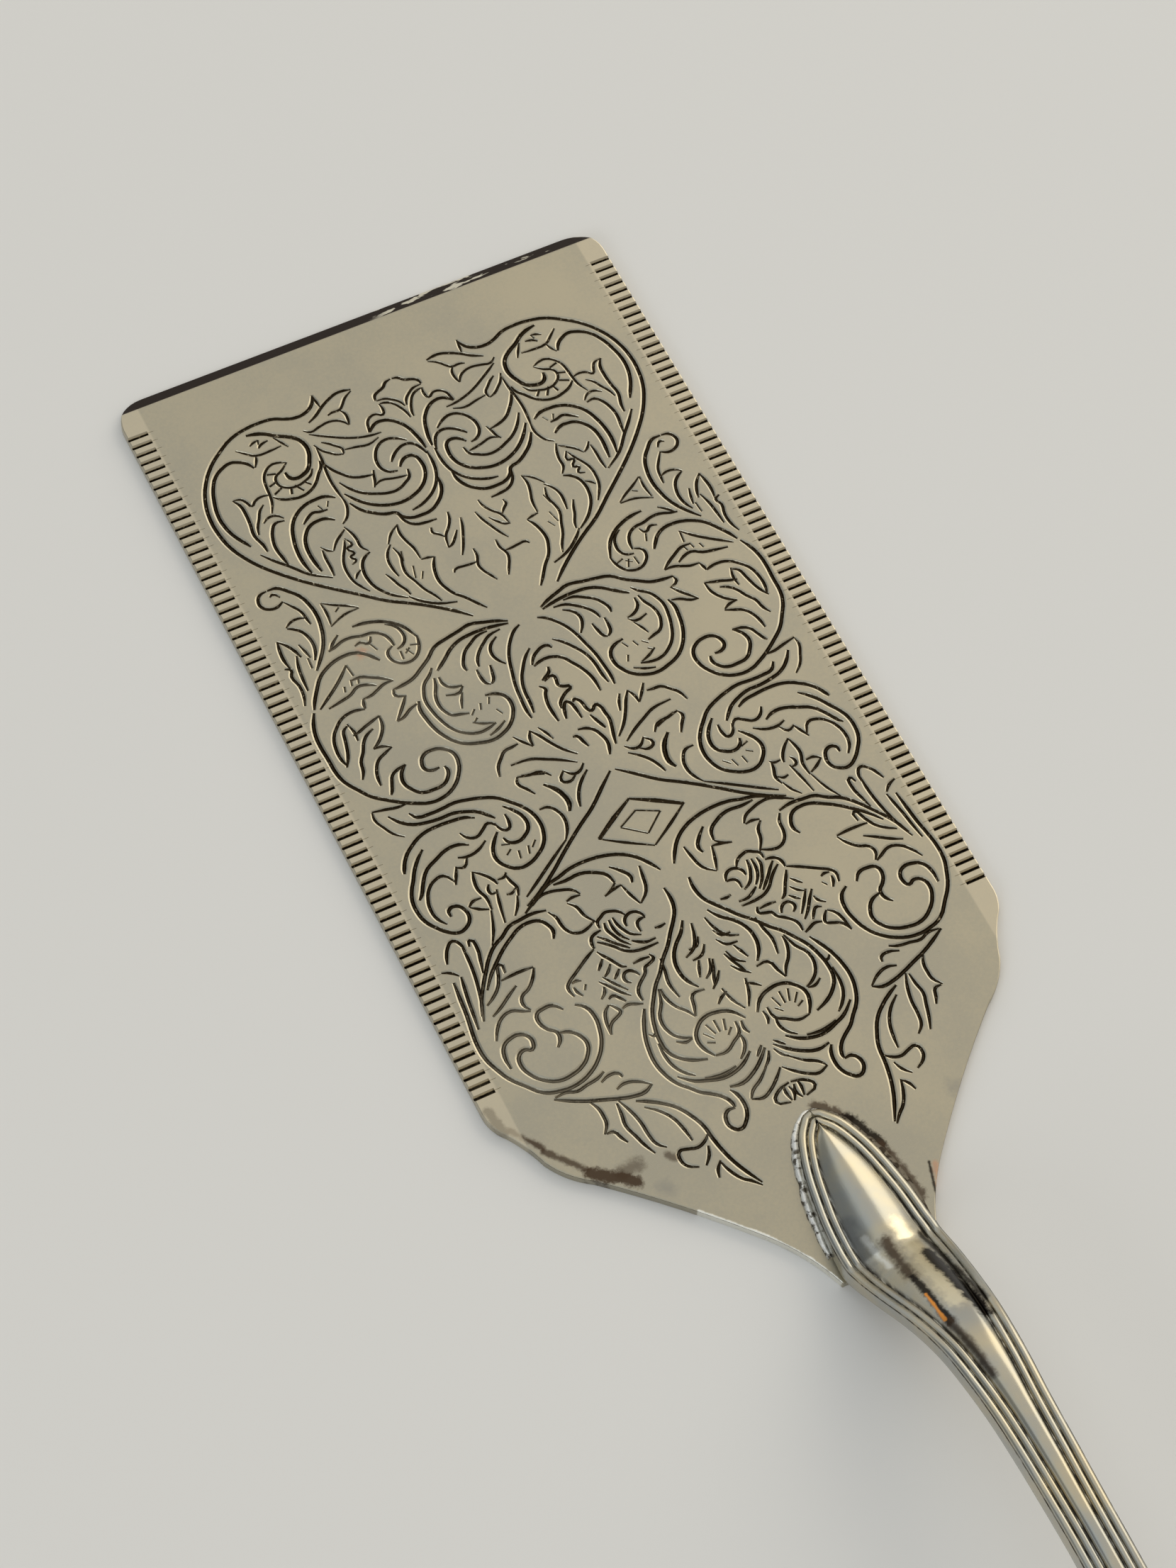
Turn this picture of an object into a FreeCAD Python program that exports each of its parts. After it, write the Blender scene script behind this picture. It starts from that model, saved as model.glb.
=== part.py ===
import FreeCAD, Part
import math
import os

# Pie server: a flat blade with fluted sides and an engraved scroll pattern, and a
# thread-edged handle that is cranked up from the blade and soldered onto its tail.
# Millimetres. +Y runs to the front of the blade, +X to the right, +Z up. The
# origin is on the flat underside of the blade, at the middle of the flutes.

# Driving dimensions: name, value, meaning
SIZES = [
    ("blade_width", 61.2, "across the fluted sides"),
    ("blade_front", 50.1, "front edge ahead of the middle of the flutes"),
    ("sheet_gauge", 1.2, "thickness of the blade"),
    ("front_corner", 2.5, "radius of the two front corners in plan"),
    ("bevel_run", 1.8, "length of the bevel on the front edge"),
    ("bevel_depth", 0.8, "depth of the bevel at the front edge"),
    ("side_back", 46.5, "end of the straight sides behind the middle of the flutes"),
    ("shoulder_length", 33.0, "from the end of the straight sides to the tail"),
    ("tail_width", 11.2, "width of the tail, under the heel"),
    ("flute_count", 76, "flutes on each side"),
    ("flute_pitch", 1.2, "from flute to flute"),
    ("flute_length", 3.1, "from the side inwards"),
    ("flute_width", 0.62, "width of a flute at the top face"),
    ("flute_depth", 0.4, "depth of a flute"),
    ("scroll_width", 54.6, "engraved pattern from side to side"),
    ("scroll_length", 107.4, "engraved pattern from end to end"),
    ("scroll_end", 42.0, "front end of the pattern ahead of the middle of the flutes"),
    ("line_width", 0.46, "width of an engraved line"),
    ("line_depth", 0.22, "depth of an engraved line"),
    ("handle_length", 144.5, "from the tip of the heel to the far end"),
    ("heel_length", 18.1, "stretch of the handle that lies on the blade"),
    ("heel_width", 11.0, "widest place of the heel"),
    ("stem_width", 5.5, "narrowest place of the stem"),
    ("end_width", 17.6, "widest place near the far end"),
    ("end_length", 11.0, "length of the rounded far end"),
    ("crank_rise", 12.5, "underside of the stem above the blade at its highest place"),
    ("edge_thickness", 2.4, "thickness of the stem at its edges"),
    ("crown_rise", 1.5, "middle of the heel above its edges"),
    ("belly", 0.5, "roundness of the underside of the stem"),
    ("thread_pitch", 1.0, "width of each of the two raised threads"),
    ("thread_stand", 0.3, "height of the threads above the valley between them"),
    ("solder_bead", 0.55, "radius of the bead of solder round the heel"),
    ("solder_reach", 0.2, "middle of the bead outside the edge of the heel and above the blade"),
]

# Shoulder of the blade: middle and end of each arc, as shares of the way in to
# the tail and of the way back: ear, hollow, bulge, long flank and tail
SHOULDER_ARCS = [
    ((0.006, 0.045), (0.052, 0.109)),
    ((0.106, 0.179), (0.140, 0.242)),
    ((0.198, 0.306), (0.288, 0.364)),
    ((0.568, 0.561), (0.820, 0.764)),
    ((0.932, 0.885), (1.000, 1.000)),
]

# Stations of the handle. Place is a share of the stretch, width a share of the way
# from the stem's width to the wide end of that stretch, and rise, thickness and
# crown are shares of their sizes.
HEEL_STATIONS = [
    # place, width, rise, thickness, crown
    (0.004, 0.070, -0.06, 0.42, 0.05),
    (0.044, 0.255, -0.06, 0.46, 0.16),
    (0.122, 0.455, -0.06, 0.54, 0.30),
    (0.260, 0.650, -0.06, 0.64, 0.49),
    (0.450, 0.820, -0.06, 0.73, 0.67),
    (0.680, 0.940, -0.06, 0.82, 0.86),
    (0.860, 0.985, -0.06, 0.94, 0.97),
]
NECK_STATIONS = [
    (-0.004, 1.000, -0.01, 1.14, 1.00),
    (0.010, 0.970, 0.085, 1.13, 0.99),
    (0.024, 0.925, 0.205, 1.06, 0.97),
    (0.048, 0.800, 0.390, 1.02, 0.92),
    (0.074, 0.636, 0.585, 1.00, 0.80),
    (0.100, 0.491, 0.745, 1.00, 0.66),
    (0.130, 0.345, 0.865, 1.00, 0.53),
    (0.175, 0.190, 0.952, 1.00, 0.42),
    (0.316, 0.000, 0.990, 1.00, 0.38),
]
SHAFT_STATIONS = [
    (0.398, 0.008, 0.960, 0.98, 0.38),
    (0.536, 0.074, 0.885, 0.93, 0.40),
    (0.700, 0.300, 0.800, 0.85, 0.48),
    (0.918, 0.800, 0.745, 0.74, 0.60),
]
END_STATIONS = [
    (0.318, 1.000, 0.750, 0.68, 0.55),
    (0.591, 0.917, 0.757, 0.66, 0.46),
    (0.818, 0.680, 0.765, 0.64, 0.32),
    (0.936, 0.422, 0.772, 0.62, 0.18),
    (0.991, 0.162, 0.778, 0.60, 0.06),
]

# Sides of the bead of solder
BEAD_SIDES = 6

# Straight cuts that make up an engraved line: how far they may leave its curve,
# and the longest of them, both as shares of the line width
LINE_HOLLOW = 0.25
LONGEST_CUT = 6.0

# Engraved pattern, right half, in drawing millimetres from the middle of the
# flutes. Each line starts with its share of the line width.
DRAWN_HALF_WIDTH = 27.5
DRAWN_FRONT = 42.0
DRAWN_BACK = -65.4
SCROLLWORK = [
    # heart-shaped double scroll at the front
    (1.1, [(9.2, 41.8), (10.7, 40.1), (12.1, 39.9), (14.5, 40.8), (17.9, 40.9), (21.9, 39.2), (25.0, 35.9),
           (26.5, 31.4), (26.1, 27.1), (24.3, 23.6), (21.5, 20.4), (17.7, 17.0), (13.1, 13.2), (8.7, 10.3),
           (5.3, 7.4)]),
    (1.0, [(19.2, 35.6), (20.5, 37.1), (22.5, 37.1), (24.5, 35.0), (25.4, 31.4), (24.9, 28.2), (23.8, 26.2)]),
    (0.9, [(4.8, 40.7), (7.7, 40.5), (11.1, 38.6)]),
    (1.1, [(18.3, 39.9), (15.2, 38.6), (13.1, 37.0), (12.7, 35.0), (13.7, 32.9), (15.5, 32.3), (16.3, 33.5)]),
    (0.9, [(12.1, 33.3), (13.7, 30.8), (15.9, 29.8), (18.9, 31.2)]),
    (0.9, [(15.6, 34.7), (17.4, 35.2), (18.8, 33.7), (19.3, 30.4), (19.9, 29.1)]),
    (0.9, [(23.2, 32.6), (22.6, 30.3), (22.8, 27.3), (22.4, 24.7)]),
    (1.0, [(12.5, 28.1), (14.7, 28.9), (17.4, 27.9), (19.1, 25.0), (19.1, 20.2)]),
    (1.0, [(13.8, 25.4), (15.7, 26.2), (17.6, 25.0), (18.3, 22.6), (18.0, 19.8)]),
    (0.9, [(12.1, 19.9), (13.8, 17.8), (12.9, 14.6), (10.7, 12.8)]),
    (0.9, [(5.8, 16.3), (6.7, 13.3), (5.0, 10.1), (3.3, 7.9)]),
    # pair of spirals beside the middle line
    (1.0, [(0.9, 25.7), (1.5, 23.5), (3.5, 22.0), (6.0, 22.1), (9.6, 24.5), (11.4, 26.7)]),
    (1.0, [(4.2, 28.7), (2.9, 29.7), (1.7, 28.4), (2.3, 26.1), (5.6, 24.4), (9.4, 25.7), (11.4, 28.1)]),
    (0.9, [(3.5, 28.1), (5.6, 26.2), (9.4, 27.3), (11.3, 29.7)]),
    (0.9, [(1.9, 31.7), (4.1, 32.8), (6.0, 31.4), (6.1, 29.3), (4.6, 28.4)]),
    (1.0, [(5.3, 34.4), (3.3, 35.3), (1.1, 33.3), (0.45, 29.8)]),
    # hooked leaf and side spiral
    (1.0, [(24.6, 20.2), (22.5, 19.2), (20.9, 15.0), (22.1, 10.7), (23.9, 8.5)]),
    (0.9, [(24.7, 20.1), (26.1, 19.2), (25.3, 17.8), (23.6, 18.2)]),
    (0.9, [(24.6, 14.8), (22.9, 12.8), (23.5, 9.8)]),
    (1.0, [(12.0, 7.8), (14.0, 10.7), (18.0, 12.0)]),
    (1.0, [(17.0, 6.7), (19.3, 8.9), (22.9, 8.3), (26.2, 4.1)]),
    # long outer scroll
    (1.1, [(26.4, 3.7), (27.4, 1.2), (27.3, -4.2), (25.1, -8.2), (21.1, -11.0), (18.1, -11.6), (15.4, -9.8),
           (14.8, -7.0), (16.6, -5.8), (18.4, -6.8), (17.7, -8.1)]),
    (1.0, [(16.3, -8.2), (17.4, -10.2), (19.9, -10.1), (21.1, -7.4), (20.1, -6.2)]),
    (0.9, [(21.1, 1.8), (23.9, 1.8), (26.1, -1.4), (25.8, -3.8)]),
    (0.9, [(21.0, 5.8), (18.7, 5.2), (16.8, 3.8)]),
    # winged leaf
    (1.1, [(2.0, 5.4), (6.1, 6.7), (10.9, 5.7), (14.7, 3.2), (17.3, 2.7)]),
    (1.0, [(2.1, 5.1), (6.7, 5.6), (10.4, 4.0), (11.9, 2.8)]),
    (0.9, [(3.3, 4.7), (5.8, 3.9), (7.5, 1.3)]),
    (1.0, [(1.1, 4.4), (3.6, 1.8), (4.9, -2.4), (5.1, -6.9)]),
    (1.1, [(15.4, 0.3), (15.3, -3.4), (12.9, -6.7), (8.7, -7.2), (6.3, -4.4), (7.3, -2.5), (8.5, -2.2)]),
    (0.9, [(12.3, 3.4), (14.4, 1.0), (14.2, -3.0), (11.3, -6.0), (8.9, -5.7)]),
    # second scroll and its spiral
    (1.1, [(22.0, -11.8), (20.1, -12.9), (15.5, -13.0), (11.5, -15.2), (9.7, -18.8), (11.6, -22.3), (14.2, -22.8),
           (15.9, -21.0), (14.4, -18.0)]),
    (0.9, [(24.5, -11.3), (21.1, -13.6), (16.7, -14.2), (14.1, -16.4)]),
    (0.9, [(12.5, -15.4), (11.0, -17.6), (11.8, -19.6), (13.8, -19.6), (14.1, -18.8)]),
    (1.0, [(16.1, -15.4), (20.1, -14.5), (23.7, -15.5), (25.9, -18.4)]),
    (1.0, [(22.9, -16.5), (25.4, -19.5), (26.6, -23.0), (24.7, -26.5), (22.0, -26.1), (22.6, -24.1), (23.6, -25.1)]),
    # diamond field
    (1.0, [(0.5, -16.5), (6.1, -21.0), (11.4, -24.9), (15.7, -27.4)]),
    (1.0, [(0.3, -20.4), (5.2, -23.4), (0.5, -26.6)]),
    (0.9, [(2.5, -13.0), (4.7, -10.4), (6.0, -8.2)]),
    (0.9, [(3.0, -13.8), (7.1, -11.4), (11.3, -11.8)]),
    # arches under the diamond field
    (1.1, [(0.8, -29.6), (2.4, -27.2), (5.5, -25.5), (9.7, -25.3), (12.6, -26.0), (16.3, -28.1)]),
    # lower scroll
    (1.1, [(14.1, -28.7), (18.5, -28.7), (22.1, -31.2), (25.7, -37.0)]),
    (1.1, [(26.7, -32.2), (27.4, -38.0), (27.0, -43.0), (23.7, -47.4), (20.1, -48.2), (16.9, -46.6), (15.0, -42.0),
           (16.3, -39.8)]),
    (1.0, [(19.3, -42.1), (17.1, -44.5), (20.1, -47.0), (24.1, -45.0), (23.3, -42.3)]),
    (0.9, [(22.6, -42.6), (22.3, -41.1), (24.1, -40.5), (25.6, -43.7)]),
    # lyre round the middle
    (1.1, [(1.5, -31.7), (2.4, -35.6), (6.5, -40.4), (9.8, -45.6), (9.9, -49.0), (6.5, -51.5)]),
    (1.1, [(9.9, -43.4), (11.6, -47.8), (10.7, -52.4), (7.0, -56.0), (6.5, -57.6)]),
    (1.0, [(10.3, -51.8), (6.1, -54.1), (2.1, -52.6)]),
    (1.0, [(0.7, -49.0), (3.1, -47.1), (5.9, -47.8), (5.6, -51.5)]),
    # crescent and trailing leaves at the shoulder
    (1.0, [(13.1, -51.5), (16.9, -51.4), (23.1, -48.7)]),
    (1.1, [(15.5, -52.4), (11.9, -54.9), (10.2, -59.6), (7.8, -66.1)]),
]


def curve_through(points):
    """A smooth line through the points."""
    line = Part.BSplineCurve()
    line.interpolate([FreeCAD.Vector(*point) for point in points])
    return line


def corners_along(line, hollow, longest):
    """Places along a line for straight cuts that leave it by at most the hollow."""
    length = line.length()
    way = [0.0]
    while way[-1] < length:
        bend = max(line.curvature(line.parameterAtDistance(way[-1])), 1e-6)
        way.append(way[-1] + min(longest, math.sqrt(8.0 * hollow / bend)))
    return [line.parameterAtDistance(place * length / way[-1]) for place in way]


def engraved_line(share, points, size):
    """Flat shape of one engraved line: as wide as its share in the middle, pointed at its ends."""
    across = size["scroll_width"] / (2.0 * DRAWN_HALF_WIDTH)
    along = size["scroll_length"] / (DRAWN_FRONT - DRAWN_BACK)
    top = size["sheet_gauge"]
    middle = curve_through([(x * across, size["scroll_end"] + (y - DRAWN_FRONT) * along, top) for x, y in points])
    half_width = 0.5 * share * size["line_width"]
    places = corners_along(middle, LINE_HOLLOW * size["line_width"], LONGEST_CUT * size["line_width"])
    sides = ([], [])
    for number, place in enumerate(places[1:-1], start=1):
        swell = half_width * math.sin(math.pi * number / (len(places) - 1)) ** 0.4
        centre = middle.value(place)
        direction = middle.tangent(place)[0]
        for side, sign in zip(sides, (1.0, -1.0)):
            side.append(centre + FreeCAD.Vector(-direction.y, direction.x, 0) * (sign * swell))
    start = middle.value(places[0])
    loop = [start] + sides[0] + [middle.value(places[-1])] + sides[1][::-1] + [start]
    return Part.Face(Part.makePolygon(loop))


def engraving(size):
    """Both halves of the pattern as one set of shallow prisms that reach into the top face."""
    lines = [engraved_line(share, points, size) for share, points in SCROLLWORK]
    half = lines[0].multiFuse(lines[1:]).removeSplitter()
    middle_plane = (FreeCAD.Vector(0, 0, 0), FreeCAD.Vector(1, 0, 0))
    flat = Part.makeCompound([half, half.mirror(*middle_plane)])
    flat.translate(FreeCAD.Vector(0, 0, -size["line_depth"]))
    return flat.extrude(FreeCAD.Vector(0, 0, 2.0 * size["line_depth"]))


def heel_tip(size):
    """Place of the handle's pointed tip along Y: its heel ends over the tail."""
    return -(size["side_back"] + size["shoulder_length"]) + size["heel_length"]


def handle_stations(size):
    """Distance behind the tip, half width, rise, edge thickness and crown of each section."""
    heel = 0.5 * size["heel_width"]
    stem = 0.5 * size["stem_width"]
    end = 0.5 * size["end_width"]
    shaft = size["handle_length"] - size["heel_length"] - size["end_length"]
    stretches = [
        (HEEL_STATIONS, 0.0, size["heel_length"], 0.0, heel),
        (NECK_STATIONS, size["heel_length"], shaft, stem, heel),
        (SHAFT_STATIONS, size["heel_length"], shaft, stem, end),
        (END_STATIONS, size["heel_length"] + shaft, size["end_length"], 0.0, end),
    ]
    stations = []
    for rows, start, length, narrow, wide in stretches:
        for place, width, rise, thickness, crown in rows:
            stations.append((
                start + place * length,
                narrow + width * (wide - narrow),
                rise * size["crank_rise"],
                thickness * size["edge_thickness"],
                crown * size["crown_rise"],
            ))
    return stations


def handle_section(station, size):
    """Section across the handle: belly, upright edges, two threads on each side and a crown."""
    back, half_width, rise, thickness, crown = station
    share = min(1.0, half_width / (3.0 * size["thread_pitch"]))
    pitch = share * size["thread_pitch"]
    stand = share * size["thread_stand"]
    belly = share * size["belly"]
    under = size["sheet_gauge"] + rise
    edge = size["sheet_gauge"] + max(rise, 0.0) + thickness
    inner = half_width - 2.0 * pitch
    spring = edge + 0.4 * stand
    right = [
        (0.55 * half_width, under - 0.75 * belly),
        (half_width - 0.3 * share, under),
        (half_width, under + 0.3 * share),
        (half_width, edge),
        (half_width - 0.25 * pitch, edge + stand),
        (half_width - 0.70 * pitch, edge + stand),
        (half_width - pitch, edge + 0.1 * stand),
        (half_width - 1.30 * pitch, edge + 1.2 * stand),
        (half_width - 1.70 * pitch, edge + 1.2 * stand),
        (inner, spring),
        (0.70 * inner, spring + 0.51 * crown),
        (0.35 * inner, spring + 0.88 * crown),
    ]
    left = [(-x, z) for x, z in reversed(right)]
    loop = [(0.0, under - belly)] + right + [(0.0, spring + crown)] + left + [(0.0, under - belly)]
    return Part.makePolygon([FreeCAD.Vector(x, heel_tip(size) - back, z) for x, z in loop])


def solder_bar(size):
    """Round bead that follows the edge of the heel from one side round the tip to the other."""
    reach = size["solder_reach"]
    tip = heel_tip(size)
    level = size["sheet_gauge"] + reach
    heel = [(station[1], station[0]) for station in handle_stations(size)[1:len(HEEL_STATIONS)]]
    right = [(width + reach, tip - back + 0.3 * reach, level) for width, back in heel]
    left = [(-x, y, z) for x, y, z in reversed(right)]
    route = curve_through(left + [(0.0, tip + reach, level)] + right)
    start = route.value(route.FirstParameter)
    along = route.tangent(route.FirstParameter)[0]
    upright = FreeCAD.Vector(0, 0, 1)
    sideways = along.cross(upright)
    ring = []
    for turn in range(BEAD_SIDES + 1):
        angle = 2.0 * math.pi * turn / BEAD_SIDES
        spoke = sideways * math.cos(angle) + upright * math.sin(angle)
        ring.append(start + spoke * size["solder_bead"])
    return Part.Wire(route.toShape()).makePipeShell([Part.makePolygon(ring)], True, True)


def origin_plane(body, role):
    """One of a body's own origin planes or axes."""
    return next(feature for feature in body.Origin.OriginFeatures if feature.Role == role)


def sketch_on(body, name, role):
    """A sketch on one of a body's own origin planes."""
    sketch = body.newObject("Sketcher::SketchObject", name)
    sketch.AttachmentSupport = (origin_plane(body, role), [""])
    sketch.MapMode = "FlatFace"
    return sketch


def draw_loop(sketch, points):
    """Straight lines round the points."""
    corners = [FreeCAD.Vector(x, y, 0) for x, y in points]
    for start, finish in zip(corners, corners[1:] + corners[:1]):
        sketch.addGeometry(Part.LineSegment(start, finish), False)


def draw_blade_outline(sketch, size):
    """Fluted rectangle with round front corners and a shoulder that narrows to the tail."""
    half = 0.5 * size["blade_width"]
    front = size["blade_front"]
    corner = size["front_corner"]
    back = -size["side_back"]
    inwards = half - 0.5 * size["tail_width"]
    bevel = corner * (1.0 - math.sqrt(0.5))

    def shoulder(share_in, share_back):
        return (half - share_in * inwards, back - share_back * size["shoulder_length"])

    arcs = [((half - corner, front), (half - bevel, front - bevel), (half, front - corner))]
    start = (half, back)
    for middle, finish in SHOULDER_ARCS:
        arcs.append((start, shoulder(*middle), shoulder(*finish)))
        start = shoulder(*finish)
    for sign in (1.0, -1.0):
        for arc in arcs:
            ends = [FreeCAD.Vector(sign * x, y, 0) for x, y in arc]
            sketch.addGeometry(Part.Arc(*ends), False)
        side = [FreeCAD.Vector(sign * half, y, 0) for y in (front - corner, back)]
        sketch.addGeometry(Part.LineSegment(*side), False)
    for x, y in ((half - corner, front), start):
        sketch.addGeometry(Part.LineSegment(FreeCAD.Vector(-x, y, 0), FreeCAD.Vector(x, y, 0)), False)


# Sizes
doc = FreeCAD.newDocument("pie_server")
sheet = doc.addObject("Spreadsheet::Sheet", "sizes")
for row, (name, value, meaning) in enumerate(SIZES, start=1):
    sheet.set(f"A{row}", name)
    sheet.set(f"B{row}", str(value))
    sheet.set(f"C{row}", meaning)
    sheet.setAlias(f"B{row}", name)
doc.recompute()
size = {name: float(sheet.get(name)) for name, value, meaning in SIZES}

# Blade: sheet, front bevel and flutes
sheet_body = doc.addObject("PartDesign::Body", "blade_sheet")
outline = sketch_on(sheet_body, "blade_outline", "XY_Plane")
draw_blade_outline(outline, size)
pad = sheet_body.newObject("PartDesign::Pad", "blade_pad")
pad.Profile = outline
pad.setExpression("Length", "sizes.sheet_gauge")
doc.recompute()

bevel_sketch = sketch_on(sheet_body, "front_bevel_section", "YZ_Plane")
draw_loop(bevel_sketch, [
    (size["blade_front"] - size["bevel_run"], size["sheet_gauge"]),
    (size["blade_front"] + size["bevel_run"], size["sheet_gauge"] - 2.0 * size["bevel_depth"]),
    (size["blade_front"] + size["bevel_run"], size["sheet_gauge"]),
])
bevel = sheet_body.newObject("PartDesign::Pocket", "front_bevel")
bevel.Profile = bevel_sketch
bevel.setExpression("Length", "sizes.blade_width")
bevel.Midplane = True
doc.recompute()
full_volume = sheet_body.Shape.Volume

flute_sketch = sketch_on(sheet_body, "flute_section", "YZ_Plane")
flute_sketch.setExpression("AttachmentOffset.Base.z", "sizes.blade_width / 2")
first_flute = -0.5 * (size["flute_count"] - 1) * size["flute_pitch"]
draw_loop(flute_sketch, [
    (first_flute, size["sheet_gauge"] - size["flute_depth"]),
    (first_flute + 0.75 * size["flute_width"], size["sheet_gauge"] + 0.5 * size["flute_depth"]),
    (first_flute - 0.75 * size["flute_width"], size["sheet_gauge"] + 0.5 * size["flute_depth"]),
])
flute = sheet_body.newObject("PartDesign::Pocket", "flute")
flute.Profile = flute_sketch
flute.setExpression("Length", "sizes.flute_length")
doc.recompute()
flutes = sheet_body.newObject("PartDesign::MultiTransform", "flutes")
flutes.Originals = [flute]
row_of_flutes = sheet_body.newObject("PartDesign::LinearPattern", "flute_row")
row_of_flutes.Direction = (origin_plane(sheet_body, "Y_Axis"), [""])
row_of_flutes.setExpression("Length", "(sizes.flute_count - 1) * sizes.flute_pitch")
row_of_flutes.setExpression("Occurrences", "sizes.flute_count")
both_sides = sheet_body.newObject("PartDesign::Mirrored", "both_sides")
both_sides.MirrorPlane = (origin_plane(sheet_body, "YZ_Plane"), [""])
flutes.Transformations = [row_of_flutes, both_sides]
sheet_body.Tip = flutes
doc.recompute()

# Blade: engraved pattern
pattern = doc.addObject("Part::Feature", "scrollwork")
pattern.Shape = engraving(size)
blade = doc.addObject("Part::Cut", "blade")
blade.Base = sheet_body
blade.Tool = pattern

# Handle: one cast bar through its sections, with its heel cut flat to lie on the blade
sections = []
for station in handle_stations(size):
    section = doc.addObject("Part::Feature", "handle_section")
    section.Shape = handle_section(station, size)
    sections.append(section)
cast_bar = doc.addObject("Part::Loft", "cast_bar")
cast_bar.Sections = sections
cast_bar.Solid = True
blade_level = doc.addObject("Part::Box", "blade_level")
blade_level.setExpression("Length", "2 * sizes.blade_width")
blade_level.setExpression("Width", "2 * sizes.heel_length")
blade_level.setExpression("Height", "2 * sizes.crank_rise")
blade_level.setExpression("Placement.Base.x", "-sizes.blade_width")
blade_level.setExpression("Placement.Base.y", "-(sizes.side_back + sizes.shoulder_length)")
blade_level.setExpression("Placement.Base.z", "sizes.sheet_gauge - 2 * sizes.crank_rise")
handle = doc.addObject("Part::Cut", "handle")
handle.Base = cast_bar
handle.Tool = blade_level

# Solder: a bead in the corner between the heel and the blade
bead = doc.addObject("Part::Feature", "solder_bar")
bead.Shape = solder_bar(size)
bead_on_blade = doc.addObject("Part::Cut", "bead_on_blade")
bead_on_blade.Base = bead
bead_on_blade.Tool = blade_level
solder = doc.addObject("Part::Cut", "solder_seam")
solder.Base = bead_on_blade
solder.Tool = handle
doc.recompute()

# Every object has worked, and every piece is sound, before anything is written
for item in doc.Objects:
    if "Invalid" in item.State or "Error" in item.State:
        raise RuntimeError(f"{item.Name} failed: {item.State}")
if not sheet_body.Shape.Volume < full_volume:
    raise RuntimeError("the flutes cut nothing")
if not blade.Shape.Volume < sheet_body.Shape.Volume:
    raise RuntimeError("the engraved lines cut nothing")
os.makedirs("parts", exist_ok=True)
for piece in (blade, handle, solder):
    if piece.Shape.isNull() or not piece.Shape.isValid():
        raise RuntimeError(f"{piece.Label} is not sound")
    if len(piece.Shape.Solids) != 1:
        raise RuntimeError(f"{piece.Label} has {len(piece.Shape.Solids)} solids")
    piece.Shape.exportStep(f"parts/{piece.Label}.step")
    print(piece.Label, round(piece.Shape.Volume, 2), "mm3")
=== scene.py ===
"""Pie server with an engraved, fluted blade and a thread-edged handle, dressed for a picture."""
import math

import bpy
from mathutils import Euler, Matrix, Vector, noise


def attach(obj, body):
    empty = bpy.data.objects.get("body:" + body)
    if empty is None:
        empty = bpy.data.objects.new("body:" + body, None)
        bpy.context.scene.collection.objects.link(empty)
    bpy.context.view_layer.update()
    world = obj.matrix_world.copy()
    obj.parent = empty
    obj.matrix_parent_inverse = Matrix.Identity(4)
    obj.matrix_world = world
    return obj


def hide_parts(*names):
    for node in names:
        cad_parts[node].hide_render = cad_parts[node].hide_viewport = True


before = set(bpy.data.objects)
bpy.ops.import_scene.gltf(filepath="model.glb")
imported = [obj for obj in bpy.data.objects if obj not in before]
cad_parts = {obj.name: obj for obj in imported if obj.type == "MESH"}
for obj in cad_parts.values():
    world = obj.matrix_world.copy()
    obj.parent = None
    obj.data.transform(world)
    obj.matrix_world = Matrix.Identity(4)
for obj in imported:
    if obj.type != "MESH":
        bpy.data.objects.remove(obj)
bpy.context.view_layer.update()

MM = 0.001

# Camera of the photograph: place, turn and lens for a 1659 x 2212 picture
CAMERA_PLACE = (-0.1043, -0.1817, 0.3576)
CAMERA_TURN_DEG = (28.371, -2.635, -26.651)
FOCAL_PIXELS = 5269.0
PICTURE_HEIGHT = 2212.0
SENSOR = 36.0

# Blade, in millimetres: the sizes that its solid has
BLADE_WIDTH = 61.2
BLADE_FRONT = 50.1
SHEET = 1.2
BEVEL_RUN = 1.8
BEVEL_DEPTH = 0.8
SIDE_BACK = 46.5
SHOULDER_LENGTH = 33.0
TAIL_WIDTH = 11.2
SHOULDER_ARCS = [
    ((0.006, 0.045), (0.052, 0.109)),
    ((0.106, 0.179), (0.140, 0.242)),
    ((0.198, 0.306), (0.288, 0.364)),
    ((0.568, 0.561), (0.820, 0.764)),
    ((0.932, 0.885), (1.000, 1.000)),
]
FLUTE_COUNT = 76
FLUTE_PITCH = 1.2
FLUTE_LENGTH = 3.1
FLUTE_WIDTH = 0.62
FLUTE_DEPTH = 0.4

# Handle, in millimetres
HEEL_TIP = -61.4
HANDLE_LENGTH = 144.5
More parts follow.
